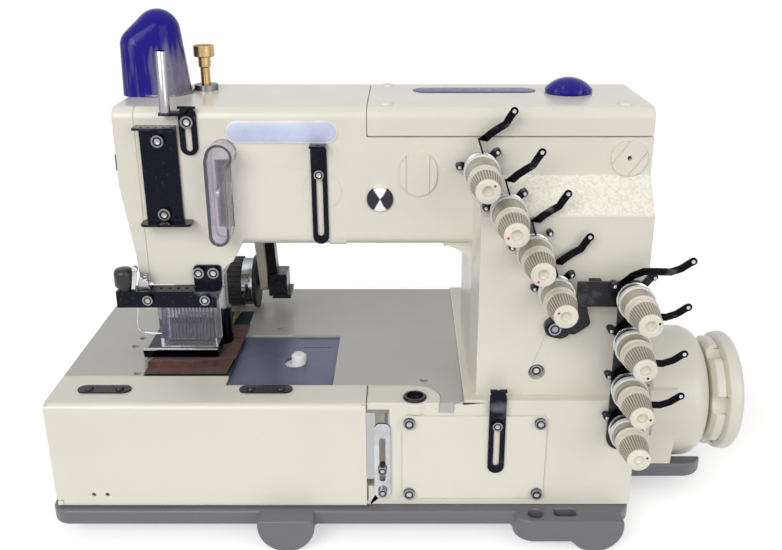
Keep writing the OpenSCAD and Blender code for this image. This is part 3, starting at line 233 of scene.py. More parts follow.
class Shader(Nodes):
    """A new material with textures in object space."""

    def __init__(self, name):
        self.material = bpy.data.materials.new(name)
        super().__init__(self.material)
        self.surface = self.tree.nodes["Principled BSDF"]
        self.place = self.add("ShaderNodeTexCoord").outputs["Object"]

    def finish(self, **values):
        """Sets the surface's inputs by name, with _ for a blank."""
        for key, value in values.items():
            self.put(self.surface.inputs[key.replace("_", " ")], value)
        return self.material

    def noise(self, scale, detail=3.0, stretch=None, roughness=0.55):
        """Noise in object space; stretch scales it by axis."""
        place = self.place
        if stretch:
            place = self.add("ShaderNodeMapping", {"Vector": place, "Scale": stretch}).outputs["Vector"]
        return self.add("ShaderNodeTexNoise", {"Vector": place, "Scale": scale, "Detail": detail,
                                               "Roughness": roughness}).outputs["Fac"]

    def axis(self, name):
        """One coordinate of the object."""
        return self.add("ShaderNodeSeparateXYZ", {"Vector": self.place}).outputs[name]

    def between(self, name, low, high, soft):
        """1 where a coordinate lies between two limits, with soft ends."""
        place = self.axis(name)
        rise = self.span(place, low - soft, low + soft, 0, 1)
        fall = self.span(place, high - soft, high + soft, 1, 0)
        return self.sum(rise, fall, "MULTIPLY")

    def rounded(self, radius):
        """Normals that round the edges over a radius."""
        return self.add("ShaderNodeBevel", {"Radius": radius}, samples=4).outputs["Normal"]

    def rough(self, low, high, scale=90, detail=3.0):
        """Roughness that wanders between two values."""
        return self.span(self.noise(scale, detail), 0.3, 0.7, low, high)

    def grain(self, scale, strength, distance=0.1 * MM, edge=0.3 * MM):
        """Normals of a fine grain over rounded edges."""
        return self.relief(self.noise(scale, 2), strength, distance, self.rounded(edge))

    def relief(self, height, strength, distance, normal=None):
        """Bump from a height, over another normal."""
        inputs = {"Height": height, "Strength": strength, "Distance": distance}
        if normal is not None:
            inputs["Normal"] = normal
        return self.add("ShaderNodeBump", inputs).outputs["Normal"]


def shade(tint, factor):
    """A colour made lighter or darker."""
    return tuple(min(1, channel * factor) for channel in tint)


def enamel(name, tint, gloss=0.32, peel=0.12, edge=0.5 * MM, cast=0.0, band=None):
    """Sprayed enamel: orange peel, faint handling marks, specks, the grain of the casting where it shows, and a painted
    highlight over a pebbled band.
    """
    s = Shader(name)
    cloud = s.span(s.noise(14, 5), 0.3, 0.7, 0, 1)
    base = s.blend(cloud, shade(tint, 0.975), shade(tint, 1.015))
    specks = s.span(s.noise(700, 1), 0.72, 0.78, 0, 0.45)
    base = s.blend(specks, base, shade(tint, 0.78))
    scuffs = s.span(s.noise(26, 6, (1, 0.35, 1)), 0.66, 0.74, 0, 0.25)
    base = s.blend(scuffs, base, shade(tint, 0.86))
    skin = s.relief(s.noise(300, 3), peel, 0.25 * MM, s.rounded(edge))
    if cast:
        skin = s.relief(s.noise(900, 2), cast, 0.22 * MM, skin)
    if band:
        pebbles = s.noise(480, 2)
        inside = s.sum(s.between("Z", *band[0], 0.8 * MM), s.between("X", *band[1], 2 * MM), "MULTIPLY")
        inside = s.sum(inside, s.between("Y", *band[2], 2 * MM), "MULTIPLY")
        # painted highlight: inside the band the cream is lightened over its pebbles, as light from above brightens this
        # upward slope; the pebble bump is the casting's own texture
        base = s.blend(s.sum(inside, s.span(pebbles, 0.38, 0.6, 0.15, 1), "MULTIPLY"), base, shade(tint, 1.22))
        skin = s.relief(pebbles, inside, 0.5 * MM, skin)
    return s.finish(Base_Color=base, Roughness=s.rough(gloss - 0.04, gloss + 0.08, 35),
                    Normal=skin, Coat_Weight=0.3, Coat_Roughness=0.18)


def ground_steel(name, tint, roughness=0.3, stretch=(1, 40, 1), edge=0.25 * MM, metallic=1.0):
    """Steel with fine grinding lines along one axis."""
    s = Shader(name)
    lines = s.noise(180, 2, stretch)
    base = s.blend(s.span(lines, 0.3, 0.7, 0, 1), shade(tint, 0.8), shade(tint, 1.08))
    stain = s.span(s.noise(30, 4), 0.45, 0.75, 0, 0.4)
    base = s.blend(stain, base, shade(tint, 0.62))
    return s.finish(Base_Color=base, Metallic=metallic, Roughness=s.rough(roughness - 0.06, roughness + 0.12, 50),
                    Normal=s.relief(lines, 0.12, 0.05 * MM, s.rounded(edge)))


def reflection_painted_steel(name, dark, bright, scale=28.0, share=0.5, roughness=0.1):
    """Polished plate with painted reflections: soft dark and bright areas run through its colour as a mirrored room
    would show in it.
    """
    s = Shader(name)
    painted_reflection_clouds = s.noise(scale, 2.5, (1, 1, 1.6))
    # painted reflection: the colour runs between the dark and the bright of the mirrored room
    base = s.blend(s.span(painted_reflection_clouds, share - 0.06, share + 0.12, 0, 1), dark, bright)
    fine = s.span(s.noise(520, 2), 0.62, 0.75, 0, 0.35)
    base = s.blend(fine, base, shade(bright, 0.6))
    return s.finish(Base_Color=base, Metallic=1.0, Roughness=s.rough(roughness, roughness + 0.1),
                    Normal=s.grain(240, 0.05))


def plated(name, tint=(0.6, 0.61, 0.64), roughness=0.12):
    """Bright plating with finger marks, and a painted dark reflection that deepens towards the edges the view grazes.
    """
    s = Shader(name)
    marks = s.span(s.noise(70, 4), 0.45, 0.75, 0, 1)
    # painted reflection: the colour darkens where the surface turns away from the view
    painted_dark_rim = s.span(s.add("ShaderNodeLayerWeight", {"Blend": 0.5}).outputs["Facing"], 0.25, 0.75, 0, 1)
    base = s.blend(painted_dark_rim, s.blend(marks, tint, shade(tint, 0.72)), shade(tint, 0.16))
    return s.finish(Base_Color=base, Metallic=1.0, Roughness=s.span(marks, 0, 1, roughness, roughness + 0.16),
                    Normal=s.grain(300, 0.04))


def black_oxide(name, tint):
    """Blackened steel with an oily sheen and bare corners."""
    s = Shader(name)
    worn = s.span(s.noise(120, 4), 0.58, 0.75, 0, 0.6)
    return s.finish(Base_Color=s.blend(worn, tint, (0.1, 0.1, 0.11)), Metallic=0.75,
                    Roughness=s.rough(0.2, 0.4), Normal=s.grain(400, 0.08))


def moulded(name, tint, roughness=0.42, grain=0.15):
    """Moulded plastic with a fine grain."""
    s = Shader(name)
    mottled = s.span(s.noise(60, 3), 0.35, 0.65, 0, 1)
    return s.finish(Base_Color=s.blend(mottled, shade(tint, 0.93), shade(tint, 1.04)),
                    Roughness=s.rough(roughness - 0.06, roughness + 0.08, 140, 2),
                    Normal=s.grain(900, grain, edge=0.25 * MM))


def clear_plastic(name, tint, roughness=0.05, weight=0.92, ior=1.46):
    """Clear moulded plastic with flow marks."""
    s = Shader(name)
    flow = s.noise(45, 2, (1, 1, 0.3))
    return s.finish(Base_Color=s.blend(s.span(flow, 0.3, 0.7, 0, 1), tint, shade(tint, 0.92)),
                    Roughness=s.rough(roughness, roughness + 0.06, 80), Transmission_Weight=weight, IOR=ior,
                    Normal=s.relief(flow, 0.1, 0.3 * MM))


def tinted_cover(name, top, clear, levels, sides=(2, 3), weights=(0.7, 0.02)):
    """Clear ribbed moulding whose colour deepens from its foot to its top, and to the left of two sides."""
    s = Shader(name)
    rise = s.sum(s.span(s.axis("Z"), *levels, 0, 1.25), s.span(s.axis("X"), *sides, 1.1, 0), "MAXIMUM")
    ribs = s.noise(300, 3, (1, 1, 0.05))
    rise = s.sum(rise, s.span(ribs, 0.36, 0.64, -0.3, 0.3))
    rise = s.sum(rise, s.span(s.noise(38, 2), 0.3, 0.7, -0.12, 0.12))
    return s.finish(Base_Color=s.blend(s.span(rise, 0, 1, 0, 1), clear, top),
                    Roughness=s.rough(0.04, 0.1, 80),
                    Transmission_Weight=s.span(rise, 0, 1, *weights), IOR=1.45, Specular_IOR_Level=0.15,
                    Normal=s.relief(ribs, 0.35, 0.5 * MM))


def turned_face(name, centre, bright=(0.85, 0.85, 0.87), dark=(0.045, 0.045, 0.05), sectors=2):
    """Polished turned disc with painted bright and dark reflections in rays that run out from its centre."""
    s = Shader(name)
    place = s.add("ShaderNodeMapping", {"Vector": s.place, "Location": [-c for c in centre]}).outputs["Vector"]
    split = s.add("ShaderNodeSeparateXYZ", {"Vector": place})
    turn = s.sum(split.outputs["X"], split.outputs["Z"], "ARCTAN2")
    # painted reflection: bright and dark sectors in the colour, as the turned finish would mirror the room
    painted_reflection_rays = s.sum(s.sum(s.sum(turn, float(sectors), "MULTIPLY"), s.span(s.noise(60, 2), 0, 1, -0.7, 0.7)), 0.0, "COSINE")
    return s.finish(Base_Color=s.blend(s.span(painted_reflection_rays, 0.3, 0.6, 0, 1), dark, bright), Metallic=1.0,
                    Roughness=s.rough(0.12, 0.25), Normal=s.grain(240, 0.05))


def black_rubber(name):
    """Dusty moulded rubber."""
    s = Shader(name)
    dust = s.span(s.noise(90, 4), 0.5, 0.8, 0, 0.5)
    return s.finish(Base_Color=s.blend(dust, (0.012, 0.012, 0.014), (0.05, 0.05, 0.055)),
                    Roughness=s.rough(0.5, 0.7, 200, 2), Normal=s.grain(700, 0.2, 0.15 * MM))


def woven(name, tint):
    """Brown twill with slubs and a fuzzy sheen."""
    s = Shader(name)
    weave = s.add("ShaderNodeTexWave", {"Vector": s.place, "Scale": 420.0, "Distortion": 2.0, "Detail": 1.0},
                  bands_direction="DIAGONAL").outputs["Fac"]
    slubs = s.noise(160, 4, (1, 0.3, 1))
    base = s.blend(s.span(slubs, 0.35, 0.7, 0, 1), shade(tint, 0.6), shade(tint, 1.7))
    base = s.blend(s.span(weave, 0, 1, 0, 0.4), base, shade(tint, 0.5))
    height = s.sum(weave, slubs)
    return s.finish(Base_Color=base, Roughness=s.span(slubs, 0.3, 0.7, 0.75, 0.95),
                    Normal=s.relief(height, 0.6, 0.25 * MM), Sheen_Weight=0.12)


def spun(name, tint):
    """Sewing thread with its twist."""
    s = Shader(name)
    twist = s.add("ShaderNodeTexWave", {"Vector": s.place, "Scale": 900.0, "Distortion": 1.0},
                  bands_direction="DIAGONAL").outputs["Fac"]
    return s.finish(Base_Color=s.blend(twist, shade(tint, 0.6), shade(tint, 1.15)),
                    Roughness=s.rough(0.45, 0.65, 600, 2), Normal=s.relief(twist, 0.4, 0.1 * MM), Sheen_Weight=0.2)


# the dark_polish finish is polished steel with painted dark and bright reflections in its colour
FINISH_OF = {"guide_plate": "dark_polish", "guard_bar": "dark_polish", "short_slot_guide": "dark_polish",
             "long_slot_guide": "dark_polish", "bed_strap": "dark_polish", "presser_foot": "dark_polish",
             "tension_guides": "dark_polish", "arm_casting": "cast_cream", "oil_dome": "blue_dome",
             "eye_guard": "smoky_plastic", "needles": "needle_steel", "screws": "screw_steel"}
FINISHES = {}


def finish_of(node):
    """The name of a CAD node's finish."""
    return FINISH_OF.get(node, SLOT_OF[node])


def make_finishes():
    """Every material of the machine by name, the record's slots among them."""
    paint, metal, plastic, cloth = (settings(group) for group in ("paint", "metal", "plastic", "cloth"))
    # box of the pebbled slope above the column, which gets the painted highlight
    pebbled_lit_slope = [[at(0, 0, z).z for z in (136.5, 159.5)], [at(x, 0, 0).x for x in (316, 425)],
             [at(0, y, 0).y for y in (-20, 70)]]
    cover = [at(0, 0, z).z for z in (222, 246)]
    sides = [at(x, 0, 0).x for x in (79, 91)]
    dome = [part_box("oil_dome")[0][2] - 4 * MM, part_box("oil_dome")[1][2] - 3 * MM]
    clear = (0.36, 0.33, 0.46)
    return {
        "cream_paint": enamel("cream_enamel", paint.cream),
        "cast_cream": enamel("cast_cream_enamel", paint.cream, cast=0.16, band=pebbled_lit_slope),
        "grey_paint": enamel("grey_enamel", paint.grey, gloss=0.4, peel=0.3, cast=0.3),
        "plate_paint": enamel("plate_enamel", paint.plate, gloss=0.34, peel=0.05),
        "bright_steel": ground_steel("ground_steel", metal.steel),
        "chrome": plated("bright_plating"),
        # painted reflections: dark clouds with brighter patches in the plates' colour
        "dark_polish": reflection_painted_steel("dark_polish", metal.polish, (0.2, 0.2, 0.23), share=0.66),
        "dark_steel": black_oxide("black_oxide", metal.oxide),
        "slide_steel": ground_steel("slide_steel", metal.slide, 0.34, metallic=0.35),
        "teal_steel": ground_steel("needle_plate_steel", (0.03, 0.075, 0.085), 0.3, metallic=0.6),
        "bronze": ground_steel("bronze", (0.45, 0.3, 0.14), 0.3),
        "brass": ground_steel("brass", metal.brass, 0.22, (1, 1, 20)),
        # painted reflections on the levers: black with light-grey patches in the colour
        "lever_black": reflection_painted_steel("lever_black", (0.008, 0.008, 0.01), (0.2, 0.19, 0.19), 45.0, 0.66),
        "needle_steel": ground_steel("needle_steel", (0.22, 0.22, 0.24), 0.3, (1, 1, 20)),
        # the screw heads and the thread tube carry the plating's painted dark edges
        "screw_steel": plated("screw_steel", (0.3, 0.3, 0.31), 0.28),
        "tube_plating": plated("tube_plating", (0.42, 0.42, 0.45), 0.2),
        # painted dark for the rings on the screw heads
        "socket_dark": black_oxide("socket_dark", (0.012, 0.012, 0.014)),
        "turned_face": turned_face("turned_face", next(place for place, radius in screw_heads() if radius > PLUG)),
        "blue_clear": tinted_cover("blue_cover_plastic", plastic.cover, clear, cover, sides),
        "blue_dome": tinted_cover("blue_dome_plastic", plastic.cover, clear, dome),
        "clear_plastic": clear_plastic("clear_guard_plastic", (0.86, 0.83, 0.93)),
        "smoky_plastic": clear_plastic("clear_pane_plastic", (0.66, 0.64, 0.74), 0.02, 0.96, 1.3),
        "sleeve": moulded("sleeve_plastic", plastic.sleeve, 0.26, 0.02),
        # painted shade in the knobs' grooves
        "knob_groove": moulded("knob_groove", plastic.groove, 0.5),
        "sight_black": moulded("sight_black", (0.01, 0.01, 0.012), 0.2, 0.03),
        "black_plastic": moulded("black_plastic", (0.012, 0.012, 0.014), 0.3, 0.05),
        "rubber_black": black_rubber("roller_rubber"),
        "nylon_white": moulded("white_nylon", (0.8, 0.8, 0.78), 0.28, 0.04),
        # the knob cone's sides as a painted-shade copy of the rim plastic
        "knob_beige": moulded("knob_plastic", plastic.knob, 0.4),
        "knob_rim": moulded("knob_rim_plastic", plastic.rim, 0.36),
        "red_mark": moulded("red_mark", (0.62, 0.04, 0.05), 0.4),
        "black_mark": moulded("black_mark", (0.02, 0.02, 0.02), 0.4),
        "name_field": moulded("name_plate_lacquer", plastic.plate, 0.3, 0.04),
        "blue_field": moulded("blue_stripe_lacquer", (0.02, 0.022, 0.16), 0.3, 0.04),
        "cloth": woven("brown_twill", cloth.brown),
        "thread": spun("gold_thread", cloth.thread),
    }


# ---------------------------------------------------------------- shapes


class Form:
    """A mesh under construction, in metres, with ways to add turned, cut and swept shapes in millimetres."""

    def __init__(self):
        self.mesh = bmesh.new()

    def marked(self):
        """The vertices made so far."""
        return set(self.mesh.verts)

    def since(self, before):
        """The vertices made since a mark."""
        return [v for v in self.mesh.verts if v not in before]

    def placed(self, before, matrix, paint):
        """Moves everything made since a mark and gives it a material number."""
        made = self.since(before)
        bmesh.ops.transform(self.mesh, matrix=matrix, verts=made)
        faces = {f for v in made for f in v.link_faces}
        bmesh.ops.recalc_face_normals(self.mesh, faces=list(faces))
        for face in faces:
            face.material_index = paint
        return made

    def turned(self, profile, place, axis=UP, steps=48, paint=0):
        """Spins a line of (radius, height) points round an axis through a place."""
        before = self.marked()
        line = [self.mesh.verts.new((radius * MM, 0, height * MM)) for radius, height in profile]
        edges = [self.mesh.edges.new(pair) for pair in zip(line, line[1:])]
        bmesh.ops.spin(self.mesh, geom=line + edges, cent=(0, 0, 0), axis=(0, 0, 1), angle=math.tau,
                       steps=steps, use_merge=True)
        bmesh.ops.remove_doubles(self.mesh, verts=self.since(before), dist=1e-6)
        turn = UP.rotation_difference(Vector(axis)).to_matrix().to_4x4()
        return self.placed(before, Matrix.Translation(place) @ turn, paint)

    def plate(self, outline, depth, place, across=RIGHT, up=UP, edge=0.0, paint=0):
        """Cuts a plate from an outline and gives it a depth along across x up, towards the viewer."""
        before = self.marked()
        corners = [self.mesh.verts.new((u * MM, v * MM, 0)) for u, v in outline]
        face = self.mesh.faces.new(corners)
        grown = bmesh.ops.extrude_face_region(self.mesh, geom=[face])["geom"]
        top = [v for v in grown if isinstance(v, bmesh.types.BMVert)]
        bmesh.ops.translate(self.mesh, verts=top, vec=(0, 0, depth * MM))
        if edge:
            rim = list({e for v in self.since(before) for e in v.link_edges
                        if e.calc_face_angle(0) > 0.9 and abs((e.verts[0].co - e.verts[1].co).z) < 1e-6})
            round_off(self.mesh, rim, edge * MM)
        out = across.cross(up)
        turn = Matrix((across, up, out)).transposed().to_4x4()
        return self.placed(before, Matrix.Translation(place) @ turn, paint)

    def block(self, near, far, edge=0.0, paint=0):
        """A box between two corners with rounded edges."""
        before = self.marked()
        near, far = Vector(near), Vector(far)
        size, middle_point = (far - near) * MM, (near + far) / 2
        bmesh.ops.create_cube(self.mesh, size=1, matrix=Matrix.Diagonal((*size, 1)))
        if edge:
            rim = list({e for v in self.since(before) for e in v.link_edges})
            round_off(self.mesh, rim, edge * MM)
        return self.placed(before, Matrix.Translation(at(*middle_point)), paint)

    def wire(self, points, radius, paint=0, sides=2, soft=True):
        """A round wire through points given in millimetres from the datum."""
        before = self.marked()
        path = bpy.data.curves.new("path", "CURVE")
        path.dimensions = "3D"
        path.bevel_depth = radius * MM
        path.bevel_resolution = sides
        path.resolution_u = 6
        path.use_fill_caps = True
        spline = path.splines.new("NURBS" if soft else "POLY")
        spline.points.add(len(points) - 1)
        for knot, point in zip(spline.points, points):
            knot.co = (*at(*point), 1)
        if soft:
            spline.order_u = 3
            spline.use_endpoint_u = True
        holder = bpy.data.objects.new("path", path)
        self.mesh.from_mesh(holder.to_mesh())
        holder.to_mesh_clear()
        bpy.data.objects.remove(holder)
        bpy.data.curves.remove(path)
        bmesh.ops.remove_doubles(self.mesh, verts=self.since(before), dist=1e-7)
        return self.placed(before, Matrix.Identity(4), paint)


def stadium(width, height, steps=12):
    """Outline of a rectangle with round ends, centred."""
    radius = min(width, height) / 2
    along = max(width, height) / 2 - radius
    points = []
    for side, start in ((1, -90), (-1, 90)):
        for step in range(steps + 1):
            turn = math.radians(start + 180 * step / steps)
            points.append((side * along + radius * math.cos(turn), radius * math.sin(turn)))
    return points if width > height else [(-v, u) for u, v in points]


def added(name, data):
    """A new object in the scene."""
    made = bpy.data.objects.new(name, data)
    bpy.context.scene.collection.objects.link(made)
    return made


def piece(name, form, finishes, smooth_angle=40, body="machine"):
    """An object from a form, with its finishes named in one string, riding on a body."""
    shape = form.mesh if isinstance(form, Form) else form
    mesh = bpy.data.meshes.new(name)
    shape.to_mesh(mesh)
    shape.free()
    for finish in finishes.split():
        mesh.materials.append(FINISHES[finish])
    made = added(name, mesh)
    mesh.shade_smooth()
    mesh.set_sharp_from_angle(angle=math.radians(smooth_angle))
    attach(made, body)
    return made


def stand_in(name, form, finishes, smooth_angle, node):
    """A piece that takes the place and body of a CAD node."""
    made = piece(name, form, finishes, smooth_angle, BODY_OF[node])
    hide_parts(node)
    return made


def shape_of(node):
    """A CAD node's mesh with its doubled corners joined."""
    shape = bmesh.new()
    shape.from_mesh(NODES[node].data)
    bmesh.ops.remove_doubles(shape, verts=shape.verts, dist=WELD)
    return shape


def round_off(shape, edges, radius, clamp=True):
    """Rounds edges of a mesh."""
    bmesh.ops.bevel(shape, geom=edges, offset=radius, offset_type="OFFSET", segments=2, profile=0.5,
                    affect="EDGES", clamp_overlap=clamp, material=-1)


def skin_of(node, width=0.0, smooth_angle=35):
    """A CAD node's own shape with its flat faces joined and its sharp edges rounded."""
    shape = shape_of(node)
    if width:
        bmesh.ops.dissolve_limit(shape, angle_limit=math.radians(0.4), use_dissolve_boundaries=False,
                                 verts=shape.verts, edges=shape.edges, delimit=set())
        sharp = [e for e in shape.edges if len(e.link_faces) == 2 and e.calc_face_angle(0) > math.radians(30)]
        round_off(shape, sharp, width, clamp=False)
        low_corner, high_corner = (Vector(corner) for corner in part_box(node))
        for vert in shape.verts:
            vert.co = Vector(min(max(c, a), b) for c, a, b in zip(vert.co, low_corner, high_corner))
    even_normals(stand_in(node + "_skin", shape, finish_of(node), smooth_angle, node))


def even_normals(made):
    """Lets the large faces lead the shading, so that flats stay flat beside their rounded edges."""
    made.modifiers.new("even", "WEIGHTED_NORMAL").keep_sharp = True
    ready = made.evaluated_get(bpy.context.evaluated_depsgraph_get())
    mesh = bpy.data.meshes.new_from_object(ready)
    made.modifiers.clear()
    made.data = mesh


PLUG = 8  # radius in millimetres above which a head is the turned plug


def screw_heads():
    """Middle of the front face and radius in millimetres of each screw head that faces the front, foremost first."""
    shape = shape_of("screws")
    left, heads = set(shape.verts), []
    while left:
        queue = [left.pop()]
        solid = []
        while queue:
            vert = queue.pop()
            solid.append(vert.co.copy())
            for edge in vert.link_edges:
                other = edge.other_vert(vert)
                if other in left:
                    left.remove(other)
                    queue.append(other)
        near, far = (Vector([pick(place[axis] for place in solid) for axis in range(3)]) for pick in (min, max))
        wide, deep, tall = far - near
        if abs(wide - tall) < 0.2 * MM and wide > 4 * MM and deep < 30 * MM:
            heads.append((Vector(((near.x + far.x) / 2, near.y, (near.z + far.z) / 2)), wide / 2 / MM))
    shape.free()
    return sorted(heads, key=lambda head: (head[0].y, head[0].x, head[0].z))


# ---------------------------------------------------------------- operators

# distance from each tension knob's front to the face that its post stands on
REACH = (58, 56, 51, 48, 49, 46, 46, 45)
RELEASE = (361.8, 56.4)  # axis of the release lever, across and up
LOBES = ((83.5, 92, 20.5), (70.5, 85, 13.5))  # middles and radii of the blue cover's two lobes


def arm_face():
    """The arm's front face, behind the rims of its plugs."""
    return low("access_plugs").y + 1.6


def stack_foot(number):
    """Where the post of a tension meets the column, in millimetres from the datum."""
    near, far = (corner(f"tension_knob_{number}") for corner in (low, high))
    return Vector(((near.x + far.x) / 2, near.y + REACH[number - 1], (near.z + far.z) / 2))


class Step:
    """One building step of the machine."""

    def execute(self, context):
        self.build()
        return {"FINISHED"}


class WAISTBAND_OT_finishes(Step, bpy.types.Operator):
    """Gives every node its finish"""

    bl_idname = "waistband.finishes"
    bl_label = "Finishes"

    def build(self):
        FINISHES.update(make_finishes())
        for node, thing in NODES.items():
            thing.data.materials.clear()
            thing.data.materials.append(FINISHES[finish_of(node)])


class WAISTBAND_OT_castings(Step, bpy.types.Operator):
    """Rounds the edges of the castings and sheet covers"""

    bl_idname = "waistband.castings"
    bl_label = "Castings"

    def build(self):
        edge = settings("paint").edge
        for node, width in {"arm_casting": 0.0, "face_cover": edge * 1.3, "top_cover": edge, "bed_casting": edge,
                            "front_cover": 0.5 * MM, "base_frame": edge * 1.6, "pulley_housing": edge,
                            "handwheel": edge * 0.8, "side_plate": 0.4 * MM, "bed_plate": 0.3 * MM}.items():
            skin_of(node, width, smooth_angle=35 if width else 20)


class WAISTBAND_OT_knobs(Step, bpy.types.Operator):
    """Fluted tension knobs with a smooth band, a recessed face and a setting dot"""

    bl_idname = "waistband.knobs"
    bl_label = "Tension knobs"
    dots = ((1, 42), (1, 197), (1, 236), (1, 152), (2, 20), (2, 290), (2, 350), (2, 20))
    grooves = 32
    rings = 12
    cone = (1.6, 17.0)  # where the cone starts and ends behind the face
    groove_depth = 0.55

    def build(self):
        for number, (mark, turn) in enumerate(self.dots, 1):
            self.knob(f"tension_knob_{number}", mark, turn)

    def knob(self, node, mark, turn):
        """One knob; its axis points to the back."""
        near, far = low(node), high(node)
        radius, depth = (far.x - near.x) / 2, far.y - near.y
        face = at((near.x + far.x) / 2, near.y, (near.z + far.z) / 2)
        form = Form()
        # face with its recess, and the cone between its grooves
        start, end = self.cone
        form.turned([(0, 3.4), (2.8, 3.4), (3.4, 2.8), (3.4, 0.45), (3.8, 0.1), (7.3, 0.1), (7.9, 0.5), (8.0, start)],
                    face, BACK, 48, 1)
        steps = [k / self.rings for k in range(self.rings + 1)]
        cone = form.turned([(8.0 + 2.0 * k, start + (end - start) * k) for k in steps], face, BACK, self.grooves * 8)
        for vert in cone:
            depth_share, wave = self.groove(face, vert.co)
            away = Vector((vert.co.x - face.x, 0, vert.co.z - face.z)).normalized()
            vert.co -= away * self.groove_depth * MM * depth_share * ramp(wave, 0, 0.7)
        # groove faces take the darker groove colour, painted shade
        for patch in {f for v in cone for f in v.link_faces}:
            depth_share, wave = self.groove(face, patch.calc_center_median())
            if depth_share > 0.3 and wave > 0.3:
                patch.material_index = 2
        # smooth band and the thin ridge behind the cone
        form.turned([(10.0, end), (10.3, 17.6), (10.5, 23.4), (radius - 0.4, 23.9), (radius - 0.2, 24.8),
                     (radius - 0.5, 25.4), (8.6, 25.6), (8.6, depth), (3.2, depth)], face, BACK, 64, 1)
        angle = math.radians(turn)
        dot = face + Vector((5.5 * math.cos(angle), 0.02, 5.5 * math.sin(angle))) * MM
        form.turned([(0, 0), (0.85, 0), (0.95, 0.2)], dot, BACK, 16, mark + 2)
        stand_in(node + "_fluted", form, "knob_beige knob_rim knob_groove red_mark black_mark", 40, node)

    def groove(self, face, place):
        """How far a place on the cone lies from the grooves' ends, and its wave between two grooves."""
        share = (place.y - face.y) / MM
        fade = ramp(share, self.cone[0], 3.0) * ramp(share, 16.9, 15.5)
        return fade, math.cos(self.grooves * math.atan2(place.z - face.z, place.x - face.x))


class WAISTBAND_OT_tensions(Step, bpy.types.Operator):
    """Discs, nylon rings and smooth sleeves behind the knobs"""

    bl_idname = "waistband.tensions"
    bl_label = "Tension discs"

    def build(self):
        form = Form()
        for number in range(1, len(REACH) + 1):
            foot = stack_foot(number)
            place = at(*foot)
            mouth = -(foot.y - high(f"tension_knob_{number}").y + 1.2)
            form.turned([(3.1, -1.9), (8, -1.7), (12, -2.9), (12, -3.3), (8, -2.3), (3.1, -2.5)], place, BACK, 48, 1)
            form.turned([(3.1, -4.6), (8, -4.4), (12, -3.6), (12, -4.0), (8, -5.2), (3.1, -5.4)], place, BACK, 48, 1)
            form.turned([(3.1, -5.6), (10.6, -5.6), (10.6, -8.9), (3.1, -8.9), (3.1, -5.6)], place, BACK, 40, 3)
            form.turned([(3.1, -9), (12.0, -9), (12.4, -9.4), (12.4, -12.5), (12.0, -12.9), (3.1, -12.9), (3.1, -9)],
                        place, BACK, 64, 0)
            form.turned([(8.9, mouth), (9.7, mouth), (9.8, mouth + 0.4), (9.9, mouth + 4), (10.6, -17), (11.4, -13.4),
                         (11.2, -13), (9.0, -13), (8.9, mouth)], place, BACK, 64, 2)
        stand_in("tension_stacks", form, "nylon_white chrome sleeve dark_steel", 40, "tension_discs")


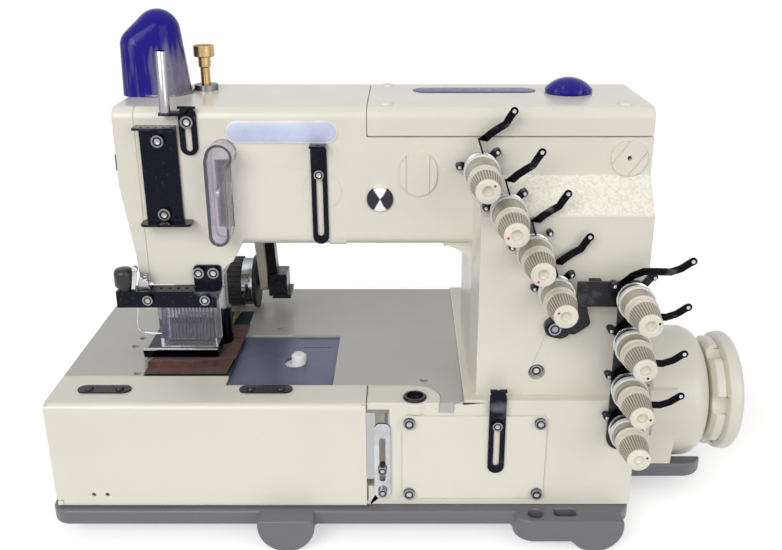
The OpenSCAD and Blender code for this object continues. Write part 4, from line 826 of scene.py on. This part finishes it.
class WAISTBAND_OT_levers(Step, bpy.types.Operator):
    """Folded thread levers and their studs behind the discs"""

    bl_idname = "waistband.levers"
    bl_label = "Thread levers"
    # middle line from the post, in millimetres; the first two places of a steep lever stand edge-on
    steep = ((3, -2.6, 6), (-1.6, -2.8, 20.5), (2.2, -4, 21.4), (5.6, -4, 24.7), (10.2, -4.5, 28.1), (15, -5, 31.1),
             (17.3, -6, 35.5), (20.2, -6.5, 40.2))
    flat = ((-9, -1.2, 9.5), (-2, -2, 16), (5, -3, 19.4), (13, -4, 19.7), (22, -5, 19.8), (28.5, -6, 22.6),
            (35.6, -6.5, 28))
    studs = {"steep": ((-14.5, 2), (10.5, 12)), "flat": ((-14, 9.6), (12.2, 15.6))}

    def build(self):
        form = Form()
        for number in range(1, len(REACH) + 1):
            kind = "steep" if number < 5 else "flat"
            centre = stack_foot(number)
            self.lever(form, centre, getattr(self, kind), 2 if kind == "steep" else 0)
            form.turned([(3.05, 0), (9, 0), (9, -1.3), (8.8, -1.5), (3.05, -1.5)], at(*centre), BACK, 40, 0)
            for u, v in self.studs[kind]:
                self.stud(form, centre, u, v)
        stand_in("folded_levers", form, "lever_black dark_steel chrome", 30, "tension_guides")

    def lever(self, form, centre, path, upright):
        """Draws out an edge along the folds, gives the strip its gauge and ends it in an eye."""
        mesh = form.mesh
        before = form.marked()
        points = [Vector(p) for p in path]
        edge = None
        for index, point in enumerate(points):
            ahead = points[min(index + 1, len(points) - 1)] - points[max(index - 1, 0)]
            side = Vector((ahead.z, 0, -ahead.x)).normalized() * 2.5
            if index < upright:
                side = BACK * 2.2
            ends = [at(*(centre + point - side)), at(*(centre + point + side))]
            if edge is None:
                edge = mesh.edges.new([mesh.verts.new(end) for end in ends])
                continue
            grown = bmesh.ops.extrude_edge_only(mesh, edges=[edge])["geom"]
            edge = next(e for e in grown if isinstance(e, bmesh.types.BMEdge) and e.is_boundary
                        and all(v in grown for v in e.verts))
            line = sorted(edge.verts, key=lambda v: (v.co - ends[0]).length)
            for vert, end in zip(line, ends):
                vert.co = end
        faces = list({f for v in form.since(before) for f in v.link_faces})
        bmesh.ops.recalc_face_normals(mesh, faces=faces)
        bmesh.ops.solidify(mesh, geom=faces, thickness=1.1 * MM)
        form.placed(before, Matrix.Identity(4), 0)
        eye = centre + points[-1]
        form.turned([(1.2, -0.7), (2.5, -0.7), (2.75, -0.4), (2.75, 0.4), (2.5, 0.65), (1.2, 0.65), (1.2, -0.7)],
                    at(*eye), BACK, 24, 0)
        form.turned([(0, -0.72), (1.3, -0.72)], at(*eye), BACK, 20, 2)

    def stud(self, form, centre, u, v):
        """A black stud on its arm, with a bright turned head."""
        run = math.hypot(u, v)
        across = Vector((u, 0, v)).normalized()
        lift = across.cross(BACK)
        form.plate([(4, -2.6), (run, -2.6), (run + 2.2, -1.5), (run + 2.6, 0), (run + 2.2, 1.5), (run, 2.6), (4, 2.6)],
                   -1.4, at(*centre), across, lift, 0.0, 1)
        place = at(*(centre + Vector((u, 0, v))))
        form.turned([(0, 0.2), (2.4, 0), (2.4, -3.4), (1.7, -3.8), (1.7, -5), (0, -5)], place, BACK, 20, 1)
        form.turned([(0, -4.9), (1.2, -4.9), (1.3, -5.2), (1.1, -5.7), (0, -5.9)], place, BACK, 20, 2)


class WAISTBAND_OT_covers(Step, bpy.types.Operator):
    """Needle bar cover and oil dome, clear at the foot and blue at the top, and the pins inside the cover"""

    bl_idname = "waistband.covers"
    bl_label = "Clear covers"

    def build(self):
        node = "needle_bar_cover"
        foot = low(node)
        shape = shape_of(node)
        # both lobes under one skin, which leaves the flange out
        flange = [v for v in shape.verts if (v.co - DATUM).z / MM < foot.z + 2.2]
        bmesh.ops.delete(shape, geom=flange, context="VERTS")
        ring, side = (at(x, y, foot.z) for x, y, _ in LOBES)
        for place, (_, _, radius) in zip((ring, side), LOBES):
            bmesh.ops.create_circle(shape, segments=64, radius=radius * MM, matrix=Matrix.Translation(place))
        bmesh.ops.delete(shape, geom=shape.faces[:] + shape.edges[:], context="EDGES_FACES")
        hull = bmesh.ops.convex_hull(shape, input=shape.verts)
        spare = {g for g in hull["geom_interior"] + hull["geom_unused"] if isinstance(g, bmesh.types.BMVert)}
        bmesh.ops.delete(shape, geom=list(spare), context="VERTS")
        bmesh.ops.recalc_face_normals(shape, faces=shape.faces)
        sole = [f for f in shape.faces if f.normal.z < -0.9 and f.calc_center_median().z < ring.z + 0.5 * MM]
        bmesh.ops.delete(shape, geom=sole, context="FACES")
        bmesh.ops.solidify(shape, geom=shape.faces[:], thickness=1.6 * MM)
        stand_in("cover_shell", shape, "blue_clear", 50, node)
        form = Form()
        form.turned([(19, 0), (22, 0), (22, 1.5), (21.6, 2), (19, 2), (19, 0)], ring, UP, 64)
        stand_in("cover_flange", form, "clear_plastic", 40, node)
        form = Form()
        # thread pins that show through the cover
        form.turned([(0, 0), (3.4, 0), (3.4, 30), (2.6, 31), (2.6, 34), (0, 34.4)], side, UP, 32)
        form.turned([(1.5, -0.9), (2.9, -0.9), (3.1, 0), (2.9, 0.9), (1.5, 0.9), (1.5, -0.9)],
                    at(69, 82, foot.z + 36.5), BACK, 32)
        piece("cover_pins", form, "chrome")
        skin_of("oil_dome", smooth_angle=50)


class WAISTBAND_OT_fittings(Step, bpy.types.Operator):
    """Pressure screw, thumb knob, tension bracket, puller band, turned plug, painted dark and bright marks on the screw
    heads and small fittings
    """

    bl_idname = "waistband.fittings"
    bl_label = "Fittings"

    def build(self):
        self.pressure_screw()
        self.thumb_knob()
        self.bracket()
        self.puller_band()
        self.sockets()
        self.marks()

    def pressure_screw(self):
        """Brass screw with a knurled head and a dark recess in its top."""
        node = "pressure_screw"
        centre, top = middle(node), high(node).z
        place = at(centre.x, centre.y, top)
        form = Form()
        form.turned([(6.2, -0.5), (6.7, 0), (7.2, 0), (7.6, -0.5), (7.6, -7.5), (7.1, -8), (4.5, -8.2), (4.5, -15),
                     (3.5, -16), (3.5, -41), (6.5, -41), (6.5, -43.5), (0, -43.5)], place, UP, 64)
        form.turned([(0, -0.7), (6.2, -0.5)], place, UP, 64, 1)
        stand_in("pressure_screw_turned", form, "brass dark_steel", 30, node)

    def thumb_knob(self):
        """Domed black knob of the needle guard."""
        node = "guard_knob"
        centre, foot = middle(node), low(node).z
        form = Form()
        form.turned([(0, 0), (5, 0), (5, 2), (6.5, 2.6), (7, 3.6), (7, 12), (6.6, 13.8), (5.4, 15.1), (3, 15.8),
                     (0, 16)], at(centre.x, centre.y, foot), UP, 48)
        stand_in("guard_knob_domed", form, "black_plastic", 40, node)

    def bracket(self):
        """Plate that carries the lower four tensions, on its two feet."""
        node = "tension_bracket"
        front = low(node).y
        form = Form()
        form.plate(stadium(20, 131), -2, at(412.6, front, 29.5), edge=0.25)
        form.plate([(-18, -9), (18, -9), (18, 9), (-18, 9)], -2, at(392, front + 0.02, 85), edge=0.25)
        form.block((384, front + 1.8, 78), (392, 32.5, 92), 0.3)
        form.block((404, front + 1.8, -20), (416, 2.9, 0), 0.3)
        stand_in("bracket_plate", form, "dark_steel", 30, node)

    def puller_band(self):
        """Bright band round the puller's drum."""
        node = "puller_roller"
        near, centre = low(node), middle(node)
        form = Form()
        form.turned([(19.6, 21.9), (20.5, 22.1), (20.7, 23), (20.7, 31), (20.5, 31.9), (19.6, 32.1), (19.6, 21.9)],
                    at(near.x, centre.y, centre.z), RIGHT, 96)
        piece("puller_band", form, "chrome", body=BODY_OF[node])

    def sockets(self):
        """A painted dark ring and a painted bright middle in every screw head, and the turned plug's face."""
        form = Form()
        for place, radius in screw_heads():
            if radius > PLUG:
                plug = Form()
                front = place + BACK * 2.2 * MM
                plug.turned([(0, -1.25), (8, -2.25), (9.05, -1.25), (9.05, 0.1)], front, BACK, 64)
                piece("turned_plug", plug, "turned_face", 50)
                continue
            # painted dark ring on each head, then a painted bright middle
            form.turned([(radius * 0.5, 0.3), (radius * 0.5, -0.1), (radius * 0.74, -0.1), (radius * 0.74, 0.3)],
                        place, BACK, 24, 0)
            form.turned([(0, 0.5), (radius * 0.3, 0.5), (radius * 0.5, 0.2)], place, BACK, 24, 1)
        piece("screw_sockets", form, "socket_dark bright_steel")

    def marks(self):
        """The foot's bright lip as a painted highlight, threaded tube, rings on the castings, pin of the release lever
        and stop beside the head.
        """
        form = Form()
        front = arm_face()
        across, up = RELEASE
        for x, y, z, radius in ((across, 32.9, up, 12.5), (201, front, 147.8, 13.3)):
            form.turned([(radius - 0.35, 0.1), (radius - 0.35, -0.12), (radius + 0.35, -0.12), (radius + 0.35, 0.1)],
                        at(x, y, z), BACK, 64)
        # painted highlight: a bright plated strip stands for the light on the front edge of the dark foot
        lip = Form()
        foot = low("presser_foot")
        lip.block((foot.x - 0.1, foot.y - 0.3, 8.3), (112.2, foot.y + 1.9, 10.3), 0.5)
        piece("foot_lip", lip, "chrome", 30, body=BODY_OF["presser_foot"])
        tube = Form()
        leaning = Vector((0.017, 0, 1))
        tube.turned([(2.3, 0), (3.5, 0), (3.5, 39.4), (3.2, 39.8), (2.3, 39.8), (2.3, 0)], at(100, front - 6, 203),
                    leaning, 40)
        piece("thread_tube", tube, "tube_plating")
        piece("casting_rings", form, "cream_paint", 30)
        form = Form()
        near = at(across, 0, up)
        # two heads share this axis, and the pin caps the rear one
        release = max((place for place, radius in screw_heads()
                       if abs((place - near).x) < 3 * MM and abs((place - near).z) < 3 * MM),
                      key=lambda place: place.y)
        form.turned([(0, -0.3), (4.2, -0.3), (4.8, 0.2), (4.8, 1.6)], release, BACK, 40)
        stop = low("face_cover").x
        form.block((stop - 7.5, 54, 156), (stop + 1, 66, 168.5), 1.2)
        piece("dark_fittings", form, "black_plastic", 30)


class WAISTBAND_OT_name_plate(Step, bpy.types.Operator):
    """Bare name plate on the arm, bare stripe and plug button on the lid"""

    bl_idname = "waistband.name_plate"
    bl_label = "Name plate and stripe"

    def build(self):
        place, top = at(175.3, arm_face(), 188.6), high("top_cover").z
        form = Form()
        form.plate(stadium(75.5, 15.4), 1.0, place, edge=0.35)
        form.plate(stadium(73.1, 13.0), 0.12, place - BACK * MM, edge=0.05, paint=1)
        piece("name_plate", form, "nylon_white name_field", 35)
        form = Form()
        form.plate(stadium(90, 21), 0.35, at(308.5, 100, top), RIGHT, BACK, 0.1)
        piece("lid_stripe", form, "blue_field", 35)
        form = Form()
        for x, y in ((406.5, 46), (245, 46), (245, 121)):
            form.turned([(0, 1.6), (3.8, 1.4), (4.8, 0.6), (5, -0.3)], at(x, y, top), UP, 32)
        piece("lid_buttons", form, "cream_paint")


class WAISTBAND_OT_needle_guard(Step, bpy.types.Operator):
    """Wire loop, linkage and spring at the needle guard"""

    bl_idname = "waistband.needle_guard"
    bl_label = "Needle guard"

    def build(self):
        bar = low("guard_bar")
        y, z = bar.y + 1.6, bar.z
        form = Form()
        form.wire([(70, y, z + 3), (69.3, y, z - 4), (68, y, z - 13), (68.2, y, z - 17.5), (71.5, y, z - 19.8),
                   (77, y, z - 20.3), (84.5, y, z - 20.6)], 0.6)
        piece("guard_wire", form, "chrome", 50)
        form = Form()
        # upright strip, bent tab and spring beside the thumb knob
        form.plate([(-1.5, 0), (1.5, 0), (4.4, 17.5), (3.4, 18.6), (1.4, 18)], -1.2, at(67.5, y, z + 12.4),
                   edge=0.2)
        form.plate([(0, 0), (9, 0), (4.4, 8.6), (2.4, 8.8)], -1.2, at(69.4, y + 2.5, z + 12.4), edge=0.2, paint=1)
        form.turned([(0, 0), (2, 0), (2, 2.6), (1.6, 3), (0, 3)], at(70.6, y, z + 29), -BACK, 24, 0)
        coil = [(75.5 + 2.2 * math.cos(a / 2), y + 5 + 2.2 * math.sin(a / 2), z + 12.6 + a * 0.19) for a in range(60)]
        form.wire(coil, 0.45, 0, 1)
        piece("guard_linkage", form, "chrome bright_steel")


class WAISTBAND_OT_cloth(Step, bpy.types.Operator):
    """Cloth sample under the presser foot, with its thread tails"""

    bl_idname = "waistband.cloth"
    bl_label = "Cloth sample"
    size = (65.0, 90.0)

    def build(self):
        rng = random.Random(settings("cloth").folds)
        waves = [(rng.uniform(0.08, 0.35), rng.uniform(0.2, 0.7), rng.uniform(0, 6.3)) for _ in range(8)]
        width, depth = self.size
        form = Form()
        bmesh.ops.create_grid(form.mesh, x_segments=65, y_segments=90, size=0.5)
        for vert in form.mesh.verts:
            u, v = (vert.co.x + 0.5) * width, (vert.co.y + 0.5) * depth
            # the front lies flat, rises in a fold before the foot and is loose again to the right of it
            flat, side = ramp(v, 12.5, 11), ramp(u, 52, 58)
            front = ramp(v, 25, 12.5) * (1 - flat)
            ripple = sum(math.sin(a * u + b * v + c) for a, b, c in waves) / len(waves)
            lift = 0.8 + (1 - flat) * (0.4 + min(1, front * 1.6 + side) * (0.7 + 2.6 * abs(ripple)) + 2.4 * front)
            ragged = rng.uniform(-0.35, 0.35) if u in (0, width) or v in (0, depth) else 0
            sway = (0.9 * math.sin(u / 6.5) + 3.4 * u / width) * (1 - flat * 0.9)
            vert.co = at(60.5 + u * (1 - 0.04 * flat) + 0.022 * v + ragged, 46.2 + v * 0.94 + ragged * 0.5 + sway, lift)
        bmesh.ops.recalc_face_normals(form.mesh, faces=form.mesh.faces)
        bmesh.ops.solidify(form.mesh, geom=form.mesh.faces[:], thickness=-0.5 * MM)
        cloth = piece("cloth_sample", form, "cloth", 60)
        tails = self.tails(rng)

    def tails(self, rng):
        """Thread tails that lie on the cloth and run back over the plate."""
        form = Form()
        for index in range(4):
            shift = rng.uniform(-1.2, 1.2)
            form.wire([(107.5 + index + shift, 108, 2.6), (109 + index * 0.8, 122, 2.4), (110.5 + shift, 137, 0.9),
                       (109.4 + index * 0.9, 158, 0.35), (110 + index * 1.4 + shift, 172, 0.3)], 0.28)
        return piece("thread_tails", form, "thread", 60)


class WAISTBAND_OT_stage(Step, bpy.types.Operator):
    """Pale floor, soft lamps and the camera"""

    bl_idname = "waistband.stage"
    bl_label = "Stage"
    sensor = 36  # width in millimetres
    shift = -12 / 782  # the photograph's middle lies beside the lens axis, as a share of its width
    stand = (256.5, -571, 318)  # the lens in millimetres from the datum

    def build(self):
        options = settings("stage")
        low_corner, high_corner = (Vector(corner) for corner in SIZE_BEFORE)
        self.floor(options, low_corner.z)
        self.lamps(options, (low_corner + high_corner) / 2)
        self.camera(options)
        bpy.context.scene.view_settings.view_transform = "Standard"

    def floor(self, options, level):
        """A wide floor that fades into the white surroundings and keeps the machine's shadow."""
        shape = bmesh.new()
        bmesh.ops.create_circle(shape, cap_ends=True, cap_tris=False, segments=96, radius=6,
                                matrix=Matrix.Translation((0, 0, level - 0.0005)))
        s = Shader("studio_floor")
        away = s.add("ShaderNodeVectorMath", {0: s.place}, operation="LENGTH").outputs["Value"]
        glow = s.sum(s.watched(), s.span(away, 0.35, 0.85, 0.5, 1.0), "MULTIPLY")
        s.finish(Base_Color=s.blend(s.span(away, 0.4, 0.9, 0, 1), options.floor, (0, 0, 0)), Roughness=0.9,
                 Specular_IOR_Level=0.0, Emission_Color=(1, 1, 1, 1), Emission_Strength=glow)
        mesh = bpy.data.meshes.new("floor")
        shape.to_mesh(mesh)
        shape.free()
        mesh.materials.append(s.material)
        added("floor", mesh)

    def lamps(self, options, centre):
        """Soft boxes above, in front and to the left, with a pale world around."""
        places = {"key": ((-0.9, -1.8, 1.1), 1.4, 27), "fill": ((1.4, -1.7, 0.7), 1.6, 15),
                  "top": ((0.1, 0.5, 2.0), 1.8, 2)}
        for name, (place, size, power) in places.items():
            light = bpy.data.lights.new(name, "AREA")
            light.shape = "SQUARE"
            light.size = size
            light.energy = power * options.lamp
            lamp = added(name, light)
            lamp.location = centre + Vector(place)
            lamp.rotation_euler = (-Vector(place)).to_track_quat("-Z", "Y").to_euler()
        world = bpy.data.worlds.new("studio")
        studio = Nodes(world)
        back = studio.tree.nodes["Background"].inputs
        studio.put(back["Color"], (1, 1, 1, 1))
        studio.put(back["Strength"], studio.span(studio.watched(), 0, 1, 0.4, 1.0))
        bpy.context.scene.world = world

    def camera(self, options):
        """The camera stands in front of the machine and looks down on it."""
        data = bpy.data.cameras.new("camera")
        data.lens = options.focal
        data.sensor_width = self.sensor
        data.shift_x = self.shift
        view = added("camera", data)
        view.location = at(*self.stand)
        view.rotation_euler = (math.pi / 2 - options.pitch, 0, 0)
        bpy.context.scene.camera = view


OPERATORS = [WAISTBAND_OT_finishes, WAISTBAND_OT_castings, WAISTBAND_OT_knobs, WAISTBAND_OT_tensions,
             WAISTBAND_OT_levers, WAISTBAND_OT_covers, WAISTBAND_OT_fittings, WAISTBAND_OT_name_plate,
             WAISTBAND_OT_needle_guard, WAISTBAND_OT_cloth, WAISTBAND_OT_stage]


class WAISTBAND_PT_panel(bpy.types.Panel):
    """Lists the machine's building steps"""

    bl_idname = "WAISTBAND_PT_panel"
    bl_label = "Waistband machine"
    bl_space_type = "VIEW_3D"
    bl_region_type = "UI"
    bl_category = "Sewing"

    def draw(self, context):
        for operator in OPERATORS:
            self.layout.operator(operator.bl_idname)


def register():
    for group, kind in SETTINGS.items():
        bpy.utils.register_class(kind)
        setattr(bpy.types.Scene, "waistband_" + group, PointerProperty(type=kind))
    for kind in [*OPERATORS, WAISTBAND_PT_panel]:
        bpy.utils.register_class(kind)


def unregister():
    for kind in reversed([*OPERATORS, WAISTBAND_PT_panel]):
        bpy.utils.unregister_class(kind)
    for group, kind in SETTINGS.items():
        delattr(bpy.types.Scene, "waistband_" + group)
        bpy.utils.unregister_class(kind)


def main():
    register()
    for operator in OPERATORS:
        section, name = operator.bl_idname.split(".")
        getattr(getattr(bpy.ops, section), name)()


if __name__ == "__main__":
    main()
